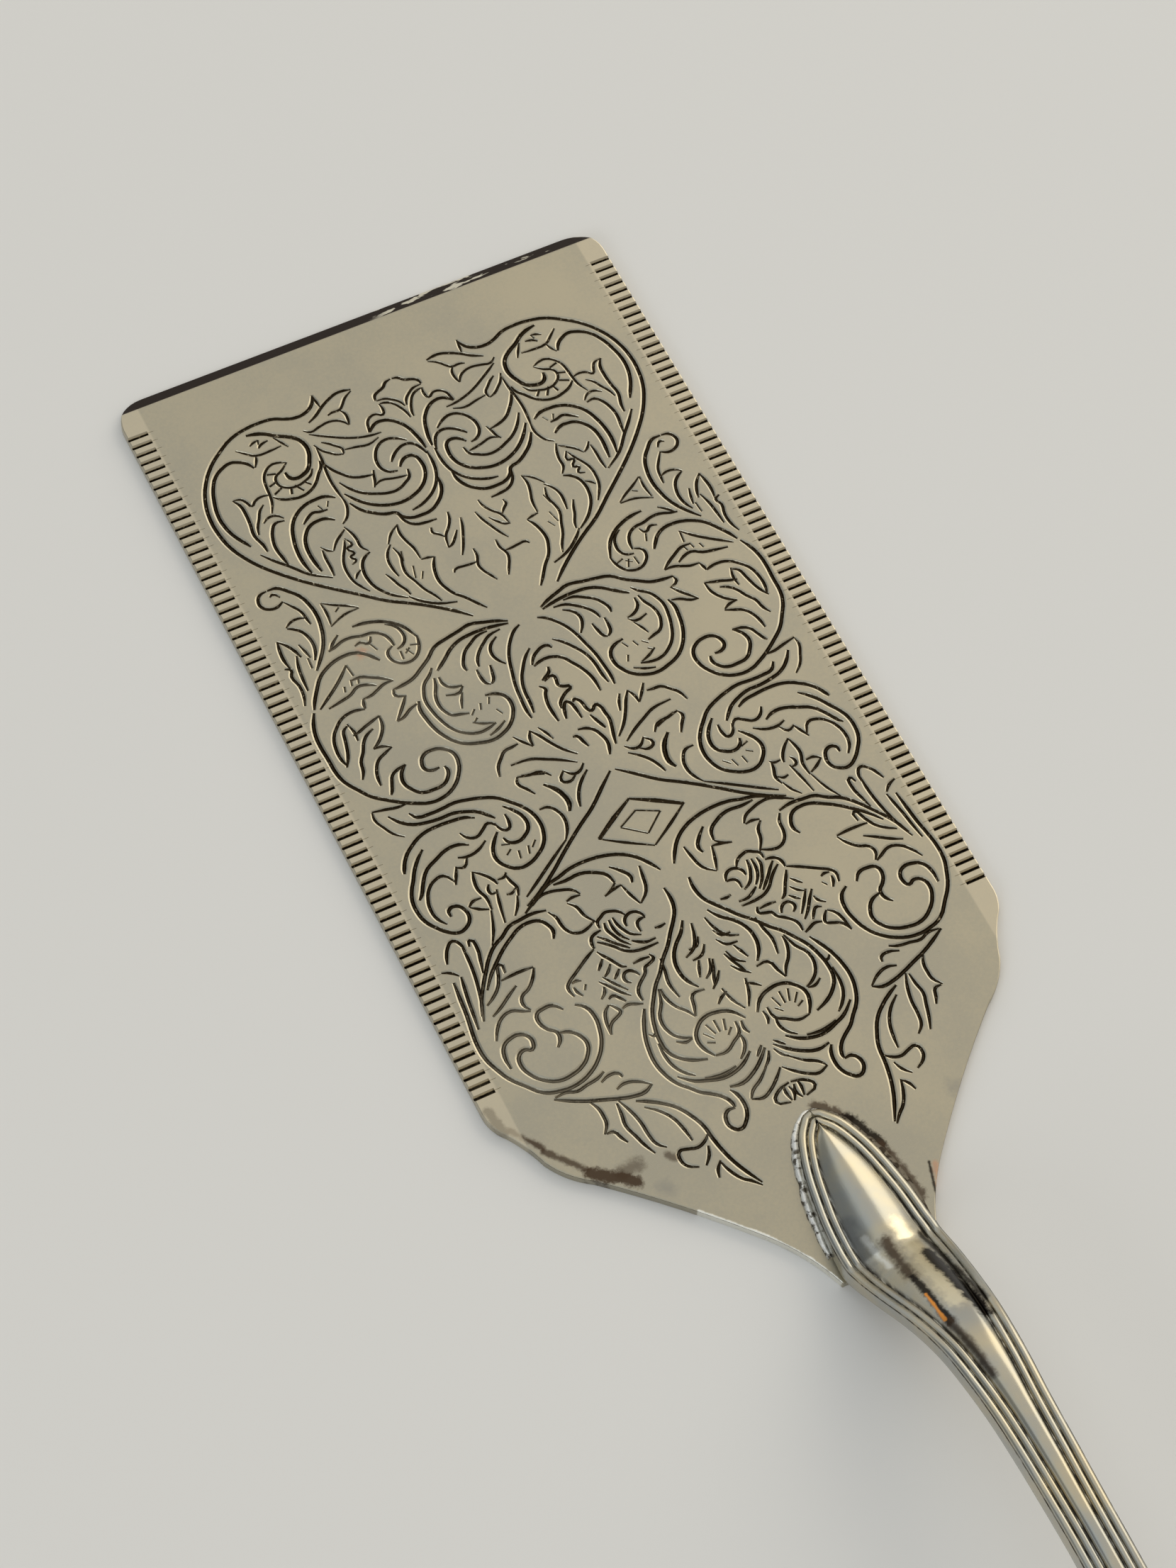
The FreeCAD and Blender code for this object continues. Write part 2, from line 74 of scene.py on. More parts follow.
# back from the tip, half width, underside above the blade, thickness at the edges, crown above the edges
HANDLE_STATIONS = [
    (0.0, 0.0, 0.0, 0.95, 0.0),
    (0.3, 0.85, 0.0, 1.0, 0.1),
    (0.8, 1.4, 0.0, 1.1, 0.25),
    (2.2, 2.5, 0.0, 1.3, 0.45),
    (4.2, 3.4, 0.0, 1.5, 0.7),
    (6.4, 4.1, 0.0, 1.65, 0.9),
    (9.0, 4.65, 0.0, 1.8, 1.05),
    (12.3, 5.17, 0.0, 1.97, 1.29),
    (15.6, 5.42, 0.0, 2.26, 1.45),
    (17.6, 5.5, 0.0, 2.72, 1.5),
    (19.2, 5.42, 1.05, 2.71, 1.48),
    (20.9, 5.29, 2.55, 2.54, 1.45),
    (23.6, 4.95, 4.85, 2.45, 1.38),
    (26.6, 4.5, 7.3, 2.4, 1.2),
    (29.6, 4.1, 9.3, 2.4, 1.0),
    (32.6, 3.75, 10.7, 2.4, 0.8),
    (36.1, 3.45, 11.6, 2.4, 0.68),
    (40.6, 3.1, 12.1, 2.4, 0.6),
    (46.6, 2.9, 12.4, 2.4, 0.57),
    (54.6, 2.75, 12.4, 2.4, 0.57),
    (64.0, 2.8, 12.0, 2.35, 0.57),
    (80.0, 3.2, 11.05, 2.23, 0.6),
    (95.0, 4.2, 10.2, 2.1, 0.7),
    (110.0, 5.8, 9.55, 1.92, 0.82),
    (124.0, 7.6, 9.3, 1.78, 0.9),
    (133.5, 8.55, 9.35, 1.68, 0.85),
    (137.0, 8.8, 9.4, 1.62, 0.8),
    (140.0, 8.05, 9.45, 1.58, 0.65),
    (142.5, 5.95, 9.55, 1.54, 0.45),
    (143.8, 3.7, 9.65, 1.5, 0.25),
    (144.5, 0.0, 9.75, 1.45, 0.0),
]

# Threads: middle and half width of each, inside the edge, and how far it stands up
THREADS = [(0.48, 0.42, 0.34), (1.38, 0.40, 0.34)]
THREAD_BAND = 1.9
THREAD_INSETS = [0.0, 0.06, 0.1, 0.19, 0.32, 0.48, 0.64, 0.77, 0.86, 0.92, 0.98, 1.07, 1.2, 1.38, 1.56, 1.69,
                 1.78, 1.9]
VALLEY = 0.1
# A point of the threads is hollow, and dark, where it is lower than their height divided by this
HOLLOW_SHARE = 2.2
CROWN_SHARES = [1.0, 0.85, 0.7, 0.55, 0.42, 0.3, 0.2, 0.1]
# The crown is round up to the first place behind the heel's tip, and flatter from the second
CROWN_FLATTER = (20.0, 34.0)
# Drop below the top edge, as a share of the thickness, and inset
SIDE_STEPS = [(0.04, 0.0), (0.3, 0.0), (0.6, 0.0), (0.85, 0.03), (0.95, 0.12), (1.0, 0.3)]
UNDERSIDE_BAND = 0.3
UNDERSIDE_SHARES = [0.25, 0.5, 0.75, 1.0]
BELLY = 0.5
HEEL_FLAT = 17.0
BELLY_START = 4.0
OUTLINE_STEP = 0.9
OUTLINE_LEAST = 5

# Solder: x, y and radius of the bead from the left side of the heel round to the right
SOLDER_HEIGHT = 0.05
SOLDER_LUMP = 0.8
SOLDER_UNEVEN = 0.12
SOLDER_ROUND = 4
SOLDER_STEPS = 10
SOLDER_ROUTE = [
    (-5.55, -76.5, 0.25), (-5.3, -73.5, 0.42), (-4.95, -70.8, 0.5), (-4.3, -68.2, 0.4), (-3.6, -65.9, 0.52),
    (-2.65, -63.7, 0.48), (-1.5, -62.1, 0.36), (0.0, -61.3, 0.3), (1.5, -62.1, 0.45), (2.75, -63.7, 0.6),
    (3.7, -65.9, 0.6), (4.5, -68.2, 0.75), (5.15, -70.8, 0.72), (5.5, -73.5, 0.68), (5.65, -76.5, 0.5),
    (5.65, -78.3, 0.3),
]

# Edges of the blade; its front corners are worn rounder than the solid's 2.5
EDGE_SOFTNESS = 0.12
EDGE_STEPS = 2
EDGE_ANGLE = 20.0
CORNER_RADIUS = 3.7
ARC_STEPS = 8
# Squares into which the sheet is divided before the pattern is cut
CELL = 3.1
CELLS_ACROSS = 18
CELLS_ALONG = 35
CELLS_FRONT = 42.7
# Pointed end of a flute, and how far its cutter runs past the side
FLUTE_POINT = 0.7
FLUTE_POINT_SHARE = 0.15
FLUTE_OVERRUN = 1.0
# The widest part of the flute cutters is this far above the blade
FLUTE_LIFT = 0.02

# Groove of the graver: across and height, for a half width of 1
GROOVE_PROFILE = [(1.55, 0.6), (1.55, 0.02), (0.85, -0.26), (0.3, -0.9), (-0.3, -0.9), (-0.85, -0.26),
                  (-1.55, 0.02), (-1.55, 0.6)]
LINE_STEPS = 3
END_SHARE = 0.6
LINE_BREADTH = 1.17

# Points nearer than this, in metres, are one point
SAME_PLACE = 1e-8
SKIN_SAME_PLACE = 2e-5
# Faces that meet at more than this angle, in degrees, keep a crease
BLADE_CREASE = 16.0
HANDLE_CREASE = 40.0
SOLDER_CREASE = 60.0

# Finish of the blade. A noise is its size, detail and roughness, and a drawn-out noise is its
# stretch, turn and size. A pair of values is where a mask starts and where it is full.
PLATE_COOL = (0.408, 0.380, 0.302, 1.0)
PLATE_WARM = (0.464, 0.420, 0.315, 1.0)
BLADE_ROUGHNESS = 0.30
BLADE_CLOUDS = (14.0, 3.0, 0.55)
BLADE_GRAIN = (0.35, 3.0, 0.6)
BLADE_SCRATCHES = ((1.0, 14.0, 1.0), 0.5, 1.1)
BLADE_DENTS = (5.0, 2.0, 0.5)
WEAR = (0.3, 0.7)
GRAIN_IN_WEAR = 0.5
BLADE_BUMP_STRENGTH = 0.25
BLADE_BUMP_HEIGHT = 0.02
SCRATCH_BUMP, DENT_BUMP, GRAIN_BUMP = 0.3, 1.4, 0.15
CLOUD_GLOSS, SCRATCH_GLOSS, TARNISH_GLOSS = 0.10, 0.08, 0.1
# Depth below the top face where a groove starts to be dark, and where it is fully dark
GROOVE_DARK = (0.06, 0.11)
GROOVE_RAGGED = (0.45, 3.0, 0.7)
GROOVE_RAGGED_DEPTH = 0.12
# Tarnish lies on faces that look up, and above this height over the table
FACING_UP = (0.2, 0.4)
TARNISH_FLOOR = (0.35, 0.45)
GROOVE_TARNISH = (0.030, 0.021, 0.011, 1.0)
# Paler flecks in the groove tarnish: uneven tarnish, partly painted glints
GROOVE_FLECK = (0.30, 0.25, 0.17, 1.0)
GROOVE_FLECKS = (0.4, 3.0, 0.7)
FLECK_SHARE = (0.60, 0.70)
# The flutes, from this far out, are dark only this much deeper, and painted paler on top as a painted
# highlight for the light their rounded bars would catch
FLUTE_SIDES = (27.8, 28.1)
FLUTE_CLEAN = 0.13
PAINTED_FLUTE_HIGHLIGHT = (0.66, 0.585, 0.44, 1.0)
PAINTED_FLUTE_HIGHLIGHT_SHARE = 0.5
# The bevel is black, with worn chips from the middle to the right
BEVEL_BLACK = (0.15, 0.25)
BEVEL_TARNISH = (0.022, 0.013, 0.009, 1.0)
BEVEL_CHIP = (0.72, 0.68, 0.56, 1.0)
BEVEL_CHIPS = ((0.5, 2.0, 1.0), 0.0, 2.2)
CHIP_SHARE = (0.56, 0.60)
CHIP_START = (1.0, 4.0)

# Finish of the handle
POLISH_COOL = (0.42, 0.42, 0.385, 1.0)
POLISH_WARM = (0.53, 0.475, 0.35, 1.0)
HANDLE_ROUGHNESS = 0.24
HANDLE_CLOUDS = (6.0, 3.0, 0.55)
HANDLE_STREAKS = ((4.0, 0.5, 1.0), 0.0, 1.0)
HANDLE_DENT_SIZE = 3.0
HOLLOW_TARNISH = (0.02, 0.015, 0.01, 1.0)
HOLLOW_STREAKS = (0.25, 0.6)
HOLLOW_STRENGTH = 0.95
HANDLE_BUMP_STRENGTH = 0.3
HANDLE_BUMP_HEIGHT = 0.03
STREAK_BUMP, HANDLE_DENT_BUMP = 0.5, 1.2
HANDLE_CLOUD_GLOSS, HOLLOW_GLOSS, STREAK_GLOSS = 0.08, 0.2, 0.06

# Finish of the solder: pale on the left side, and dark from the middle to the right
SOLDER_PALE = (0.92, 0.90, 0.84, 1.0)
SOLDER_GREY = (0.16, 0.14, 0.11, 1.0)
SOLDER_DARK = (0.04, 0.03, 0.02, 1.0)
SOLDER_METALLIC = 0.9
SOLDER_ROUGHNESS = 0.42
SOLDER_DARK_ROUGHNESS = 0.15
SOLDER_DARK_SIDE = (0.0, 1.5)
SOLDER_SIDE_NOISE = 1.2
SOLDER_SIDE_RAGGED = 1.0
SOLDER_SPECKLES = (0.9, 4.0, 0.6)
SPECKLE_SHARE = (0.40, 0.50)
SOLDER_PITS = (0.35, 4.0)
SOLDER_BUMP_STRENGTH = 0.8
SOLDER_BUMP_HEIGHT = 0.08

# Table
TABLE_COLOUR = (0.80, 0.79, 0.77, 1.0)
TABLE_ROUGHNESS = 0.8
TABLE_SIZE = 6.0

# Tints of the stains, and of the painted highlights and painted reflections
BROWN = (0.07, 0.045, 0.028, 1.0)
BLACK = (0.015, 0.011, 0.008, 1.0)
GREY = (0.24, 0.24, 0.23, 1.0)
COPPER = (0.62, 0.25, 0.12, 1.0)
# Orange glints on the handle's dark streak: partly painted highlight, partly copper showing through worn
# plating
GLINT = (0.95, 0.36, 0.07, 1.0)
# White of the painted highlights on the tail's edge and on the heel
PAINTED_HIGHLIGHT = (0.92, 0.90, 0.82, 1.0)
# Cream of a painted reflection on the crank
PAINTED_CREAM_REFLECTION = (0.95, 0.86, 0.62, 1.0)
PALE_BROWN = (0.20, 0.175, 0.13, 1.0)
# How ragged the edge of a blot is, and by how many radii
BLOT_RAGGED = (1.3, 5.0, 0.75)
BLOT_RAGGED_RADII = 3.0
# Blots of stain, painted highlight and painted reflection: the ends of a short line, radius, softness,
# strength, tint
BLADE_STAINS_AND_HIGHLIGHT = [
    (((-30.0, -46.8), (-29.4, -49.6)), 0.5, 0.3, 0.95, BLACK),
    (((-28.8, -49.8), (-26.6, -53.0)), 0.3, 0.25, 0.9, BROWN),
    (((-26.6, -53.4), (-23.6, -57.0)), 0.35, 0.25, 0.85, BROWN),
    (((-23.4, -57.6), (-19.6, -60.4)), 0.7, 0.35, 0.95, BROWN),
    (((-20.4, -58.9), (-18.6, -58.9)), 0.7, 0.5, 0.6, BROWN),
    (((-15.2, -59.3), (-14.8, -59.8)), 0.4, 0.3, 0.7, BROWN),
    (((-17.2, -62.3), (-16.8, -62.7)), 0.7, 0.6, 0.4, GREY),
    (((15.2, -65.3), (15.8, -65.7)), 0.8, 0.7, 0.4, GREY),
    (((-18.7, 8.4), (-18.3, 8.6)), 0.5, 0.4, 0.4, COPPER),
    (((1.2, -60.9), (3.5, -63.7)), 0.6, 0.3, 0.85, BROWN),
    (((3.5, -63.7), (5.1, -68.0)), 0.8, 0.3, 0.95, BLACK),
    (((5.1, -68.0), (6.2, -74.3)), 0.7, 0.35, 0.85, BROWN),
    (((8.8, -71.6), (7.6, -75.6)), 0.16, 0.12, 0.9, BLACK),
    (((9.3, -72.0), (8.4, -74.6)), 0.3, 0.25, 0.4, COPPER),
    # Painted highlight: a bright line along the tail's left edge, for the light its rounded edge would catch
    (((-15.2, -66.1), (-10.1, -71.6)), 0.15, 0.1, 0.9, PAINTED_HIGHLIGHT),
    (((-10.1, -71.6), (-7.3, -75.6)), 0.15, 0.1, 0.9, PAINTED_HIGHLIGHT),
    (((-7.3, -75.6), (-5.8, -79.2)), 0.2, 0.1, 0.9, PAINTED_HIGHLIGHT),
]
# Where the tarnish in the grooves is worn away
GROOVE_WORN = [
    (((-8.0, -51.0), (-21.0, -43.0)), 8.0, 4.0, 0.7, PALE_BROWN),
    (((-13.0, -4.0), (-18.0, 7.0)), 6.0, 3.0, 0.5, PALE_BROWN),
]
# Painted reflections of the room on the polished handle: a grey patch and white highlight speckles on the
# heel's left, a cream band and black patches of reflected light and shade on the crank's right, and a dark
# streak with orange glints down the middle, partly painted reflection and partly worn plating
HANDLE_REFLECTIONS_AND_WEAR = [
    (((-3.0, -74.5), (-3.4, -81.0)), 0.7, 0.6, 0.6, GREY),
    (((1.6, -77.5), (0.4, -89.0)), 0.9, 0.7, 0.6, PAINTED_CREAM_REFLECTION),
    (((-2.3, -77.0), (-2.0, -81.5)), 0.3, 0.25, 0.7, PAINTED_HIGHLIGHT),
    (((2.1, -82.0), (2.2, -91.5)), 0.75, 0.35, 1.0, BLACK),
    (((3.2, -79.0), (3.2, -90.0)), 0.35, 0.25, 0.9, BLACK),
    (((-0.7, -78.6), (-1.2, -84.0)), 0.6, 0.45, 0.9, BROWN),
    (((-1.2, -84.0), (-1.5, -91.0)), 0.36, 0.2, 0.95, BLACK),
    (((-1.5, -91.0), (-1.0, -98.0)), 0.4, 0.35, 0.85, BROWN),
    (((-1.5, -86.8), (-1.75, -90.6)), 0.13, 0.1, 0.95, GLINT),
]

# Studio light: brightness at the horizon and overhead, and the darker directions,
# each with the cosines where it starts and is full, and its share
STUDIO_LOW = 0.70
STUDIO_HIGH = 0.80
STUDIO_RISE = (0.0, 0.9)
STUDIO_SHADES = [
    ((0.25, -0.85, 0.40), 0.50, 0.85, 0.38),
    ((-0.70, 0.45, 0.50), 0.82, 0.95, 0.62),
]
STUDIO_COOL = (0.90, 0.96, 1.0, 1.0)
STUDIO_WARM = (1.0, 0.95, 0.86, 1.0)
STUDIO_WARM_SIDE = (-0.5, 0.6)
# Name, place, target, size, power and colour
SOFT_LIGHTS = [
    ("key", (1.36, 0.60, 0.83), (0.0, -0.05, 0.0), 1.4, 8.5, (1.0, 0.92, 0.76)),
    ("rim", (-1.20, -1.00, 0.70), (0.0, -0.06, 0.0), 0.5, 3.0, (0.93, 0.97, 1.0)),
]

# Engraved pattern, right half, in millimetres: width of each line and its points
ENGRAVED_LINES = [
    # heart-shaped double scroll and the leaves inside it
    (0.45, [(9.2, 41.8), (9.7, 40.8), (10.7, 40.1), (12.1, 39.9), (13.2, 40.2), (14.5, 40.8), (16.1, 41.0),
     (17.9, 40.9), (19.9, 40.4), (21.9, 39.2), (23.6, 37.8), (25.0, 36.0), (26.0, 33.9), (26.5, 31.4),
     (26.4, 29.0), (26.0, 27.2), (25.3, 25.6), (24.2, 23.8), (22.9, 22.2), (21.4, 20.6), (19.6, 18.9),
     (17.6, 17.2), (15.4, 15.4), (13.0, 13.4), (10.6, 11.9), (8.6, 10.5), (6.6, 8.9), (5.2, 7.6)]),
    (0.45, [(19.2, 35.6), (19.7, 36.5), (20.5, 37.1), (21.4, 37.4), (22.5, 37.1), (23.6, 36.4), (24.5, 35.1),
     (25.1, 33.5), (25.5, 31.5), (25.4, 29.8), (24.9, 28.2), (24.3, 27.1), (23.8, 26.2)]),
    (0.40, [(23.3, 24.8), (22.2, 23.4), (21.0, 22.1), (19.4, 20.2), (17.2, 18.7)]),
    (0.40, [(4.8, 40.8), (5.7, 41.0), (6.6, 41.0), (7.7, 40.6), (8.8, 40.0), (9.9, 39.2), (11.1, 38.6)]),
    (0.35, [(9.0, 40.1), (9.1, 40.9), (9.2, 41.9)]),
    (0.35, [(4.9, 40.6), (5.9, 40.0), (6.7, 39.1), (7.1, 38.8), (8.1, 38.8), (8.7, 38.6)]),
    (0.35, [(7.2, 38.8), (6.8, 38.1), (6.8, 37.2), (7.0, 36.4)]),
    (0.35, [(7.0, 36.4), (7.4, 37.1), (8.1, 37.6), (9.1, 37.8), (10.3, 37.6), (11.4, 37.4), (12.1, 37.9)]),
    (0.35, [(11.7, 37.2), (10.8, 36.6), (9.5, 35.8), (8.1, 35.0), (6.6, 34.4), (5.3, 34.1), (4.1, 34.0)]),
    (0.35, [(4.7, 33.5), (6.1, 33.1), (7.6, 33.4), (8.9, 33.6)]),
    (0.35, [(9.2, 33.1), (9.1, 33.9), (9.7, 34.6), (10.3, 35.2), (10.9, 35.6)]),
    (0.35, [(9.2, 33.1), (10.0, 33.4), (10.7, 34.0), (11.3, 34.6), (11.8, 35.6)]),
    (0.35, [(11.7, 35.1), (11.8, 33.4), (12.0, 31.9), (12.1, 30.4), (12.0, 28.9), (11.8, 27.4)]),
    (0.50, [(18.3, 40.0), (17.3, 39.8), (16.3, 39.4), (15.2, 38.6), (14.0, 37.9), (13.1, 37.1), (12.7, 36.1),
     (12.7, 35.1), (13.1, 34.0), (13.7, 33.0), (14.6, 32.5), (15.5, 32.4), (16.1, 32.8), (16.3, 33.6)]),
    (0.40, [(12.1, 33.4), (12.3, 32.6), (12.9, 31.9), (13.7, 30.9), (14.7, 30.2), (15.9, 29.9), (17.1, 30.1),
     (18.1, 30.5), (18.9, 31.2)]),
    (0.35, [(15.6, 34.8), (16.6, 35.2), (17.4, 35.2), (18.3, 34.6), (18.8, 33.8), (19.0, 32.8), (19.1, 31.6),
     (19.3, 30.5), (19.9, 29.2)]),
    (0.35, [(13.3, 32.8), (13.8, 32.1), (14.6, 31.7), (15.9, 31.4), (17.1, 31.8), (17.7, 32.6), (17.5, 33.5),
     (16.6, 34.0), (15.6, 34.8)]),
    (0.35, [(15.6, 38.5), (15.0, 37.5), (14.5, 36.6)]),
    (0.35, [(15.2, 37.1), (16.6, 37.0), (18.4, 37.1), (19.3, 37.8), (20.2, 38.6)]),
    (0.35, [(18.4, 37.0), (18.6, 36.4), (19.1, 35.6)]),
    (0.35, [(19.1, 31.6), (20.1, 31.8), (21.0, 31.5), (21.5, 31.1), (21.9, 31.8), (22.3, 32.4),
     (23.2, 32.6)]),
    (0.40, [(23.2, 32.6), (22.7, 31.7), (22.6, 30.4), (22.7, 28.9), (22.9, 27.4), (22.5, 25.9),
     (22.4, 24.8)]),
    (0.35, [(20.3, 30.7), (21.0, 30.1), (21.5, 29.2), (22.1, 28.2), (22.4, 27.2)]),
    (0.35, [(18.9, 28.1), (19.6, 28.8), (20.5, 28.9), (21.3, 28.4)]),
    (0.40, [(19.0, 27.8), (20.1, 27.9), (20.8, 27.1), (21.2, 26.1), (21.4, 24.9), (21.2, 23.4),
     (21.0, 22.2)]),
    (0.45, [(12.5, 28.2), (13.5, 28.8), (14.7, 28.9), (16.1, 28.7), (17.4, 28.0), (18.4, 26.9), (19.1, 25.1),
     (19.4, 23.4), (19.4, 21.9), (19.1, 20.2)]),
    (0.45, [(13.8, 25.5), (14.7, 26.1), (15.7, 26.2), (16.8, 25.9), (17.6, 25.1), (18.1, 24.1), (18.3, 22.7),
     (18.2, 21.2), (18.0, 19.9)]),
    (0.35, [(11.9, 28.1), (11.8, 26.9), (12.0, 26.1), (12.5, 25.2), (13.3, 24.6)]),
    (0.40, [(14.0, 27.1), (14.9, 27.2), (15.7, 27.4), (16.5, 27.0), (17.3, 26.4)]),
    (0.35, [(13.3, 24.2), (12.9, 23.2), (12.7, 22.1), (12.7, 21.1), (12.1, 20.2)]),
    (0.40, [(12.1, 20.0), (12.9, 19.6), (13.5, 18.9), (13.8, 17.9), (13.8, 16.9), (13.5, 15.7), (12.9, 14.7),
     (12.1, 13.8), (10.7, 12.8)]),
    (0.35, [(13.4, 23.9), (14.1, 23.4), (14.9, 22.8), (15.7, 21.8)]),
    (0.35, [(15.7, 21.8), (16.3, 22.2), (16.8, 22.9)]),
    (0.35, [(16.8, 22.4), (16.9, 21.4), (16.9, 19.9), (17.0, 18.8)]),
    (0.35, [(14.0, 22.6), (14.4, 21.7), (15.0, 20.7), (15.4, 19.7), (15.5, 18.5), (15.3, 17.2), (14.9, 16.4),
     (14.2, 15.3)]),
    (0.35, [(7.8, 22.0), (8.0, 20.9), (7.8, 19.7), (7.4, 18.4), (7.3, 16.8)]),
    (0.35, [(7.3, 16.7), (6.5, 16.6), (5.8, 16.4)]),
    (0.40, [(5.8, 16.4), (6.3, 15.5), (6.6, 14.5), (6.7, 13.3), (6.4, 12.2), (5.9, 11.2), (5.0, 10.2),
     (4.0, 8.8), (3.3, 7.9)]),
    (0.35, [(7.9, 21.9), (8.9, 21.2), (9.8, 20.0)]),
    (0.35, [(9.6, 19.9), (10.3, 19.1), (10.7, 18.1), (10.7, 16.9), (10.5, 15.7)]),
    (0.35, [(11.7, 16.6), (11.3, 15.7), (11.0, 14.8), (10.5, 13.8), (10.3, 13.0)]),
    (0.35, [(9.5, 19.4), (9.2, 18.1), (9.5, 16.9), (9.6, 15.8), (9.1, 14.4), (8.6, 13.0), (7.9, 11.8),
     (7.5, 10.8)]),
    (0.40, [(0.5, 29.5), (0.5, 27.9), (0.7, 26.7), (1.2, 25.5), (2.1, 24.4), (3.1, 23.7), (4.3, 23.2),
     (5.4, 23.0)]),
    (0.45, [(0.9, 25.8), (1.0, 24.7), (1.5, 23.6), (2.4, 22.7), (3.5, 22.1), (4.7, 22.0), (6.0, 22.2),
     (6.8, 22.8), (7.2, 23.5), (8.3, 23.8), (9.6, 24.6), (10.6, 25.5), (11.4, 26.8)]),
    (0.40, [(7.1, 23.1), (6.7, 22.0), (5.9, 21.2), (4.7, 20.9), (3.4, 20.8)]),
    (0.45, [(4.2, 28.8), (3.6, 29.5), (2.9, 29.8), (2.1, 29.6), (1.7, 28.5), (1.8, 27.2), (2.3, 26.2),
     (3.1, 25.4), (4.3, 24.8), (5.6, 24.5), (6.9, 24.6), (8.3, 25.1), (9.4, 25.8), (10.5, 26.9),
     (11.4, 28.2)]),
    (0.40, [(3.5, 28.2), (3.8, 27.2), (4.5, 26.7), (5.6, 26.2), (6.7, 26.2), (8.1, 26.7), (9.4, 27.4),
     (10.5, 28.5), (11.3, 29.8)]),
    (0.35, [(3.9, 27.5), (4.6, 27.6), (5.6, 27.8), (6.9, 28.1), (7.9, 27.7)]),
    (0.35, [(7.1, 29.7), (7.4, 28.9), (7.6, 28.2), (8.0, 27.5)]),
    (0.40, [(7.4, 29.2), (8.5, 29.4), (9.7, 29.9), (10.6, 30.8), (11.4, 31.9), (11.8, 32.9)]),
    (0.40, [(0.6, 29.2), (0.9, 30.2), (1.5, 31.1), (2.4, 31.4), (3.4, 31.1), (4.3, 30.4), (4.8, 29.8)]),
    (0.40, [(1.9, 31.8), (3.0, 32.6), (4.1, 32.9), (5.2, 32.5), (6.0, 31.5), (6.3, 30.4), (6.1, 29.4),
     (5.4, 28.7), (4.6, 28.5)]),
    (0.40, [(0.1, 40.2), (0.8, 40.0), (1.3, 39.5), (2.3, 39.1), (2.7, 38.8), (2.9, 38.1)]),
    (0.35, [(2.8, 38.1), (1.8, 38.0), (1.0, 37.5), (0.4, 36.9), (0.1, 36.1)]),
    (0.35, [(2.6, 37.6), (2.0, 37.5), (1.3, 37.1), (0.7, 36.2), (0.3, 35.2), (0.2, 34.4)]),
    (0.35, [(2.7, 37.6), (2.6, 36.8), (2.9, 36.1), (3.6, 36.5), (4.4, 36.4), (5.0, 35.8), (5.2, 35.0),
     (5.4, 34.5)]),
    (0.45, [(5.3, 34.5), (4.7, 35.1), (4.1, 35.4), (3.3, 35.4), (2.4, 35.0), (1.6, 34.2), (1.1, 33.4),
     (0.7, 32.1), (0.5, 31.1), (0.4, 29.9)]),
    (0.35, [(1.9, 21.1), (2.1, 20.2), (2.7, 19.2), (3.4, 18.4), (3.8, 16.9)]),
    (0.35, [(4.5, 20.0), (4.6, 19.4), (4.1, 18.9), (3.5, 18.2)]),
    (0.35, [(2.0, 18.5), (2.6, 17.7), (3.3, 17.0), (3.9, 16.8)]),
    (0.35, [(0.9, 19.8), (1.2, 18.7), (1.7, 17.5), (2.3, 16.2), (2.9, 15.2)]),
    (0.35, [(1.4, 15.5), (1.4, 14.5), (1.8, 13.4), (1.7, 12.7), (1.1, 11.5), (0.7, 10.7)]),
    (0.35, [(1.8, 13.8), (2.5, 13.8), (3.4, 13.9), (4.4, 13.9), (4.7, 13.5)]),
    (0.40, [(6.0, 10.0), (8.0, 10.7), (9.8, 12.0), (10.6, 12.9)]),
    (0.36, [(16.3, 38.4), (16.9, 38.3), (17.4, 38.1), (17.7, 37.8)]),
    (0.36, [(17.3, 38.9), (17.5, 38.3)]),
    (0.36, [(17.3, 38.9), (17.9, 38.8), (18.5, 38.5)]),
    (0.36, [(13.4, 6.9), (14.1, 6.4)]),
    (0.34, [(13.5, 28.1), (13.9, 27.4)]),
    (0.34, [(14.8, 28.0), (14.5, 27.3)]),
    (0.34, [(7.8, 15.2), (8.3, 14.3)]),
    (0.34, [(8.5, 16.3), (8.9, 14.7)]),
    (0.34, [(8.9, 18.6), (9.2, 17.3)]),
    (0.34, [(13.9, 22.8), (13.5, 21.7), (14.2, 21.5), (13.7, 20.6), (14.3, 20.3), (13.9, 19.7),
     (14.6, 19.3)]),
    (0.34, [(14.0, 18.3), (14.6, 17.9), (15.0, 17.4)]),
    (0.50, [(14.9, 31.7), (14.2, 30.9)]),
    (0.50, [(16.0, 31.6), (15.3, 30.5)]),
    (0.50, [(16.5, 31.5), (16.8, 30.6)]),
    (0.50, [(17.5, 31.9), (18.6, 31.4)]),
    (0.50, [(17.7, 32.9), (18.7, 32.6)]),
    (0.50, [(17.3, 33.9), (18.3, 34.2)]),
    # leaf, spiral and scroll beside the flutes
    (0.45, [(24.6, 20.2), (23.5, 20.1), (22.5, 19.2), (21.6, 18.1), (21.1, 16.7), (20.9, 15.0), (21.1, 13.4),
     (21.5, 12.0), (22.1, 10.8), (22.9, 9.7), (23.9, 8.5)]),
    (0.40, [(24.7, 20.2), (25.6, 20.0), (26.1, 19.2), (26.0, 18.5), (25.3, 17.9), (24.4, 17.8),
     (23.6, 18.2)]),
    (0.35, [(23.6, 18.2), (22.9, 17.2), (22.3, 16.2), (22.1, 15.0), (22.0, 14.2)]),
    (0.35, [(22.1, 15.2), (23.0, 15.5), (23.9, 15.4), (24.7, 14.9)]),
    (0.40, [(24.6, 14.8), (23.9, 14.4), (23.3, 13.8), (22.9, 12.8), (22.8, 11.8), (23.0, 10.8),
     (23.5, 9.8)]),
